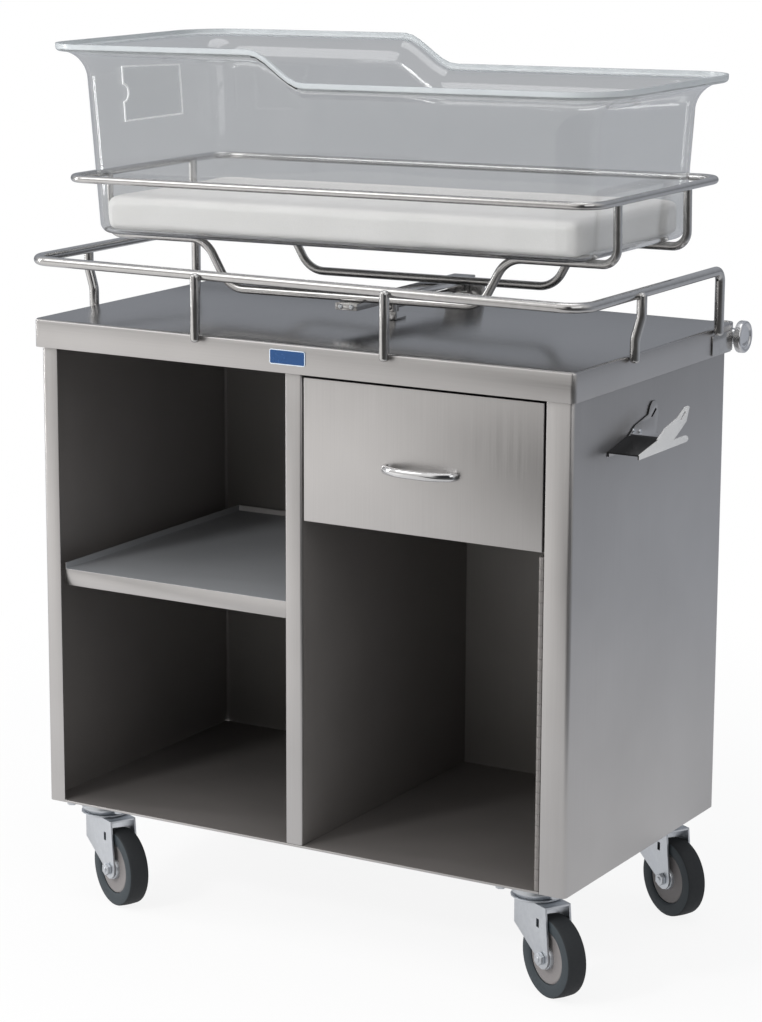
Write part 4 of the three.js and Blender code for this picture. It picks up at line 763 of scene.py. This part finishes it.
def floor_tone(tree, place):
    """What metal sees of the floor: brighter on the key lamp's side, dimmer toward the right."""
    split = put(tree, "ShaderNodeSeparateXYZ", {0: place})
    across = put(tree, "ShaderNodeVectorMath", {0: place, 1: (1, -0.615, 0)}, operation="DOT_PRODUCT")
    fall = put(tree, "ShaderNodeMapRange", {"Value": across.outputs["Value"], "From Min": -0.35, "From Max": 0.55,
                                            "To Min": 1.15, "To Max": 0.78})
    far = put(tree, "ShaderNodeMapRange", {"Value": across.outputs["Value"], "From Min": 1.0, "From Max": 1.45,
                                           "To Min": 1, "To Max": 0.1}, interpolation_type="SMOOTHSTEP")
    level = put(tree, "ShaderNodeMath", {0: fall.outputs[0], 1: far.outputs[0]}, operation="MULTIPLY")
    front = put(tree, "ShaderNodeVectorMath", {0: FRONT_TONE[:3]}, operation="SCALE")
    tree.links.new(level.outputs[0], front.inputs["Scale"])
    near = put(tree, "ShaderNodeMath", {0: split.outputs["Y"], 1: 0.25}, operation="MULTIPLY")
    return front_to_rear(tree, near.outputs[0], front.outputs[0])


def studio_world():
    world = bpy.data.worlds.new("studio")
    scene.world = world
    world.use_nodes = True
    tree = world.node_tree
    rays = put(tree, "ShaderNodeLightPath").outputs
    direction = put(tree, "ShaderNodeTexCoord").outputs["Generated"]
    through = put(tree, "ShaderNodeMix", {"Factor": rays["Is Transmission Ray"]}, data_type="RGBA")
    tree.links.new(room_tone(tree, direction), through.inputs["A"])
    through.inputs["B"].default_value = BEHIND_ACRYLIC
    seen = put(tree, "ShaderNodeMix", {"Factor": rays["Is Camera Ray"]}, data_type="RGBA")
    tree.links.new(through.outputs["Result"], seen.inputs["A"])
    seen.inputs["B"].default_value = (1, 1, 1, 1)
    tree.links.new(seen.outputs["Result"], tree.nodes["Background"].inputs["Color"])


def studio_floor():
    bm = bmesh.new()
    bmesh.ops.create_grid(bm, x_segments=1, y_segments=1, size=9)
    mesh = bpy.data.meshes.new("studio_floor")
    bm.to_mesh(mesh)
    bm.free()
    floor = bpy.data.objects.new("studio_floor", mesh)
    scene.collection.objects.link(floor)
    material = bpy.data.materials.new("pale_studio_floor")
    material.use_nodes = True
    mesh.materials.append(material)
    tree = material.node_tree
    tree.nodes.remove(tree.nodes["Principled BSDF"])
    rays = put(tree, "ShaderNodeLightPath").outputs
    place = put(tree, "ShaderNodeTexCoord").outputs["Object"]
    paint = put(tree, "ShaderNodeBsdfDiffuse", {"Color": linear("#f0f0f0")})
    white = put(tree, "ShaderNodeEmission", {"Strength": 1})
    away = put(tree, "ShaderNodeVectorMath", {0: place}, operation="LENGTH")
    fade = put(tree, "ShaderNodeMapRange", {"Value": away.outputs["Value"], "From Min": 0.5, "From Max": 1.7,
                                            "To Min": 0.88, "To Max": 1}, interpolation_type="SMOOTHSTEP")
    lit = put(tree, "ShaderNodeMixShader", {0: fade.outputs[0], 1: paint.outputs[0], 2: white.outputs[0]})
    mirrored = put(tree, "ShaderNodeEmission", {"Color": floor_tone(tree, place)})
    behind = put(tree, "ShaderNodeEmission", {"Color": BEHIND_ACRYLIC})
    glossy = put(tree, "ShaderNodeMixShader", {0: rays["Is Glossy Ray"], 1: paint.outputs[0], 2: mirrored.outputs[0]})
    through = put(tree, "ShaderNodeMixShader",
                  {0: rays["Is Transmission Ray"], 1: glossy.outputs[0], 2: behind.outputs[0]})
    seen = put(tree, "ShaderNodeMixShader", {0: rays["Is Camera Ray"], 1: through.outputs[0], 2: lit.outputs[0]})
    tree.links.new(seen.outputs[0], tree.nodes["Material Output"].inputs["Surface"])


def soft_box(name, place, aim, size, power, mirrored=True, height=None):
    lamp = bpy.data.objects.new(name, bpy.data.lights.new(name, "AREA"))
    scene.collection.objects.link(lamp)
    lamp.data.shape = "RECTANGLE"
    lamp.data.size = size
    lamp.data.size_y = height or size
    lamp.data.energy = power
    lamp.visible_glossy = mirrored
    lamp.location = place
    lamp.rotation_euler = (Vector(place) - Vector(aim)).to_track_quat("Z", "Y").to_euler()


studio_world()
studio_floor()
soft_box("key_soft_box", (-0.9, -2.3, 1.75), (0, 0, 0.5), 0.35, 26, mirrored=False)
soft_box("left_soft_box", (-2.4, -2.6, 3.2), (0, 0, 0.6), 1.8, 20)
soft_box("fill_soft_box", (2.8, -2.2, 2.2), (0, 0, 0.6), 2.2, 18)
soft_box("top_soft_box", (0, 0.2, 3.4), (0, 0, 0.9), 1.6, 14)
soft_box("strip_soft_box", (-3.0, -1.0, 1.3), (0, 0, 1.0), 0.3, 14, height=1.8)
scene.view_settings.view_transform = "Standard"
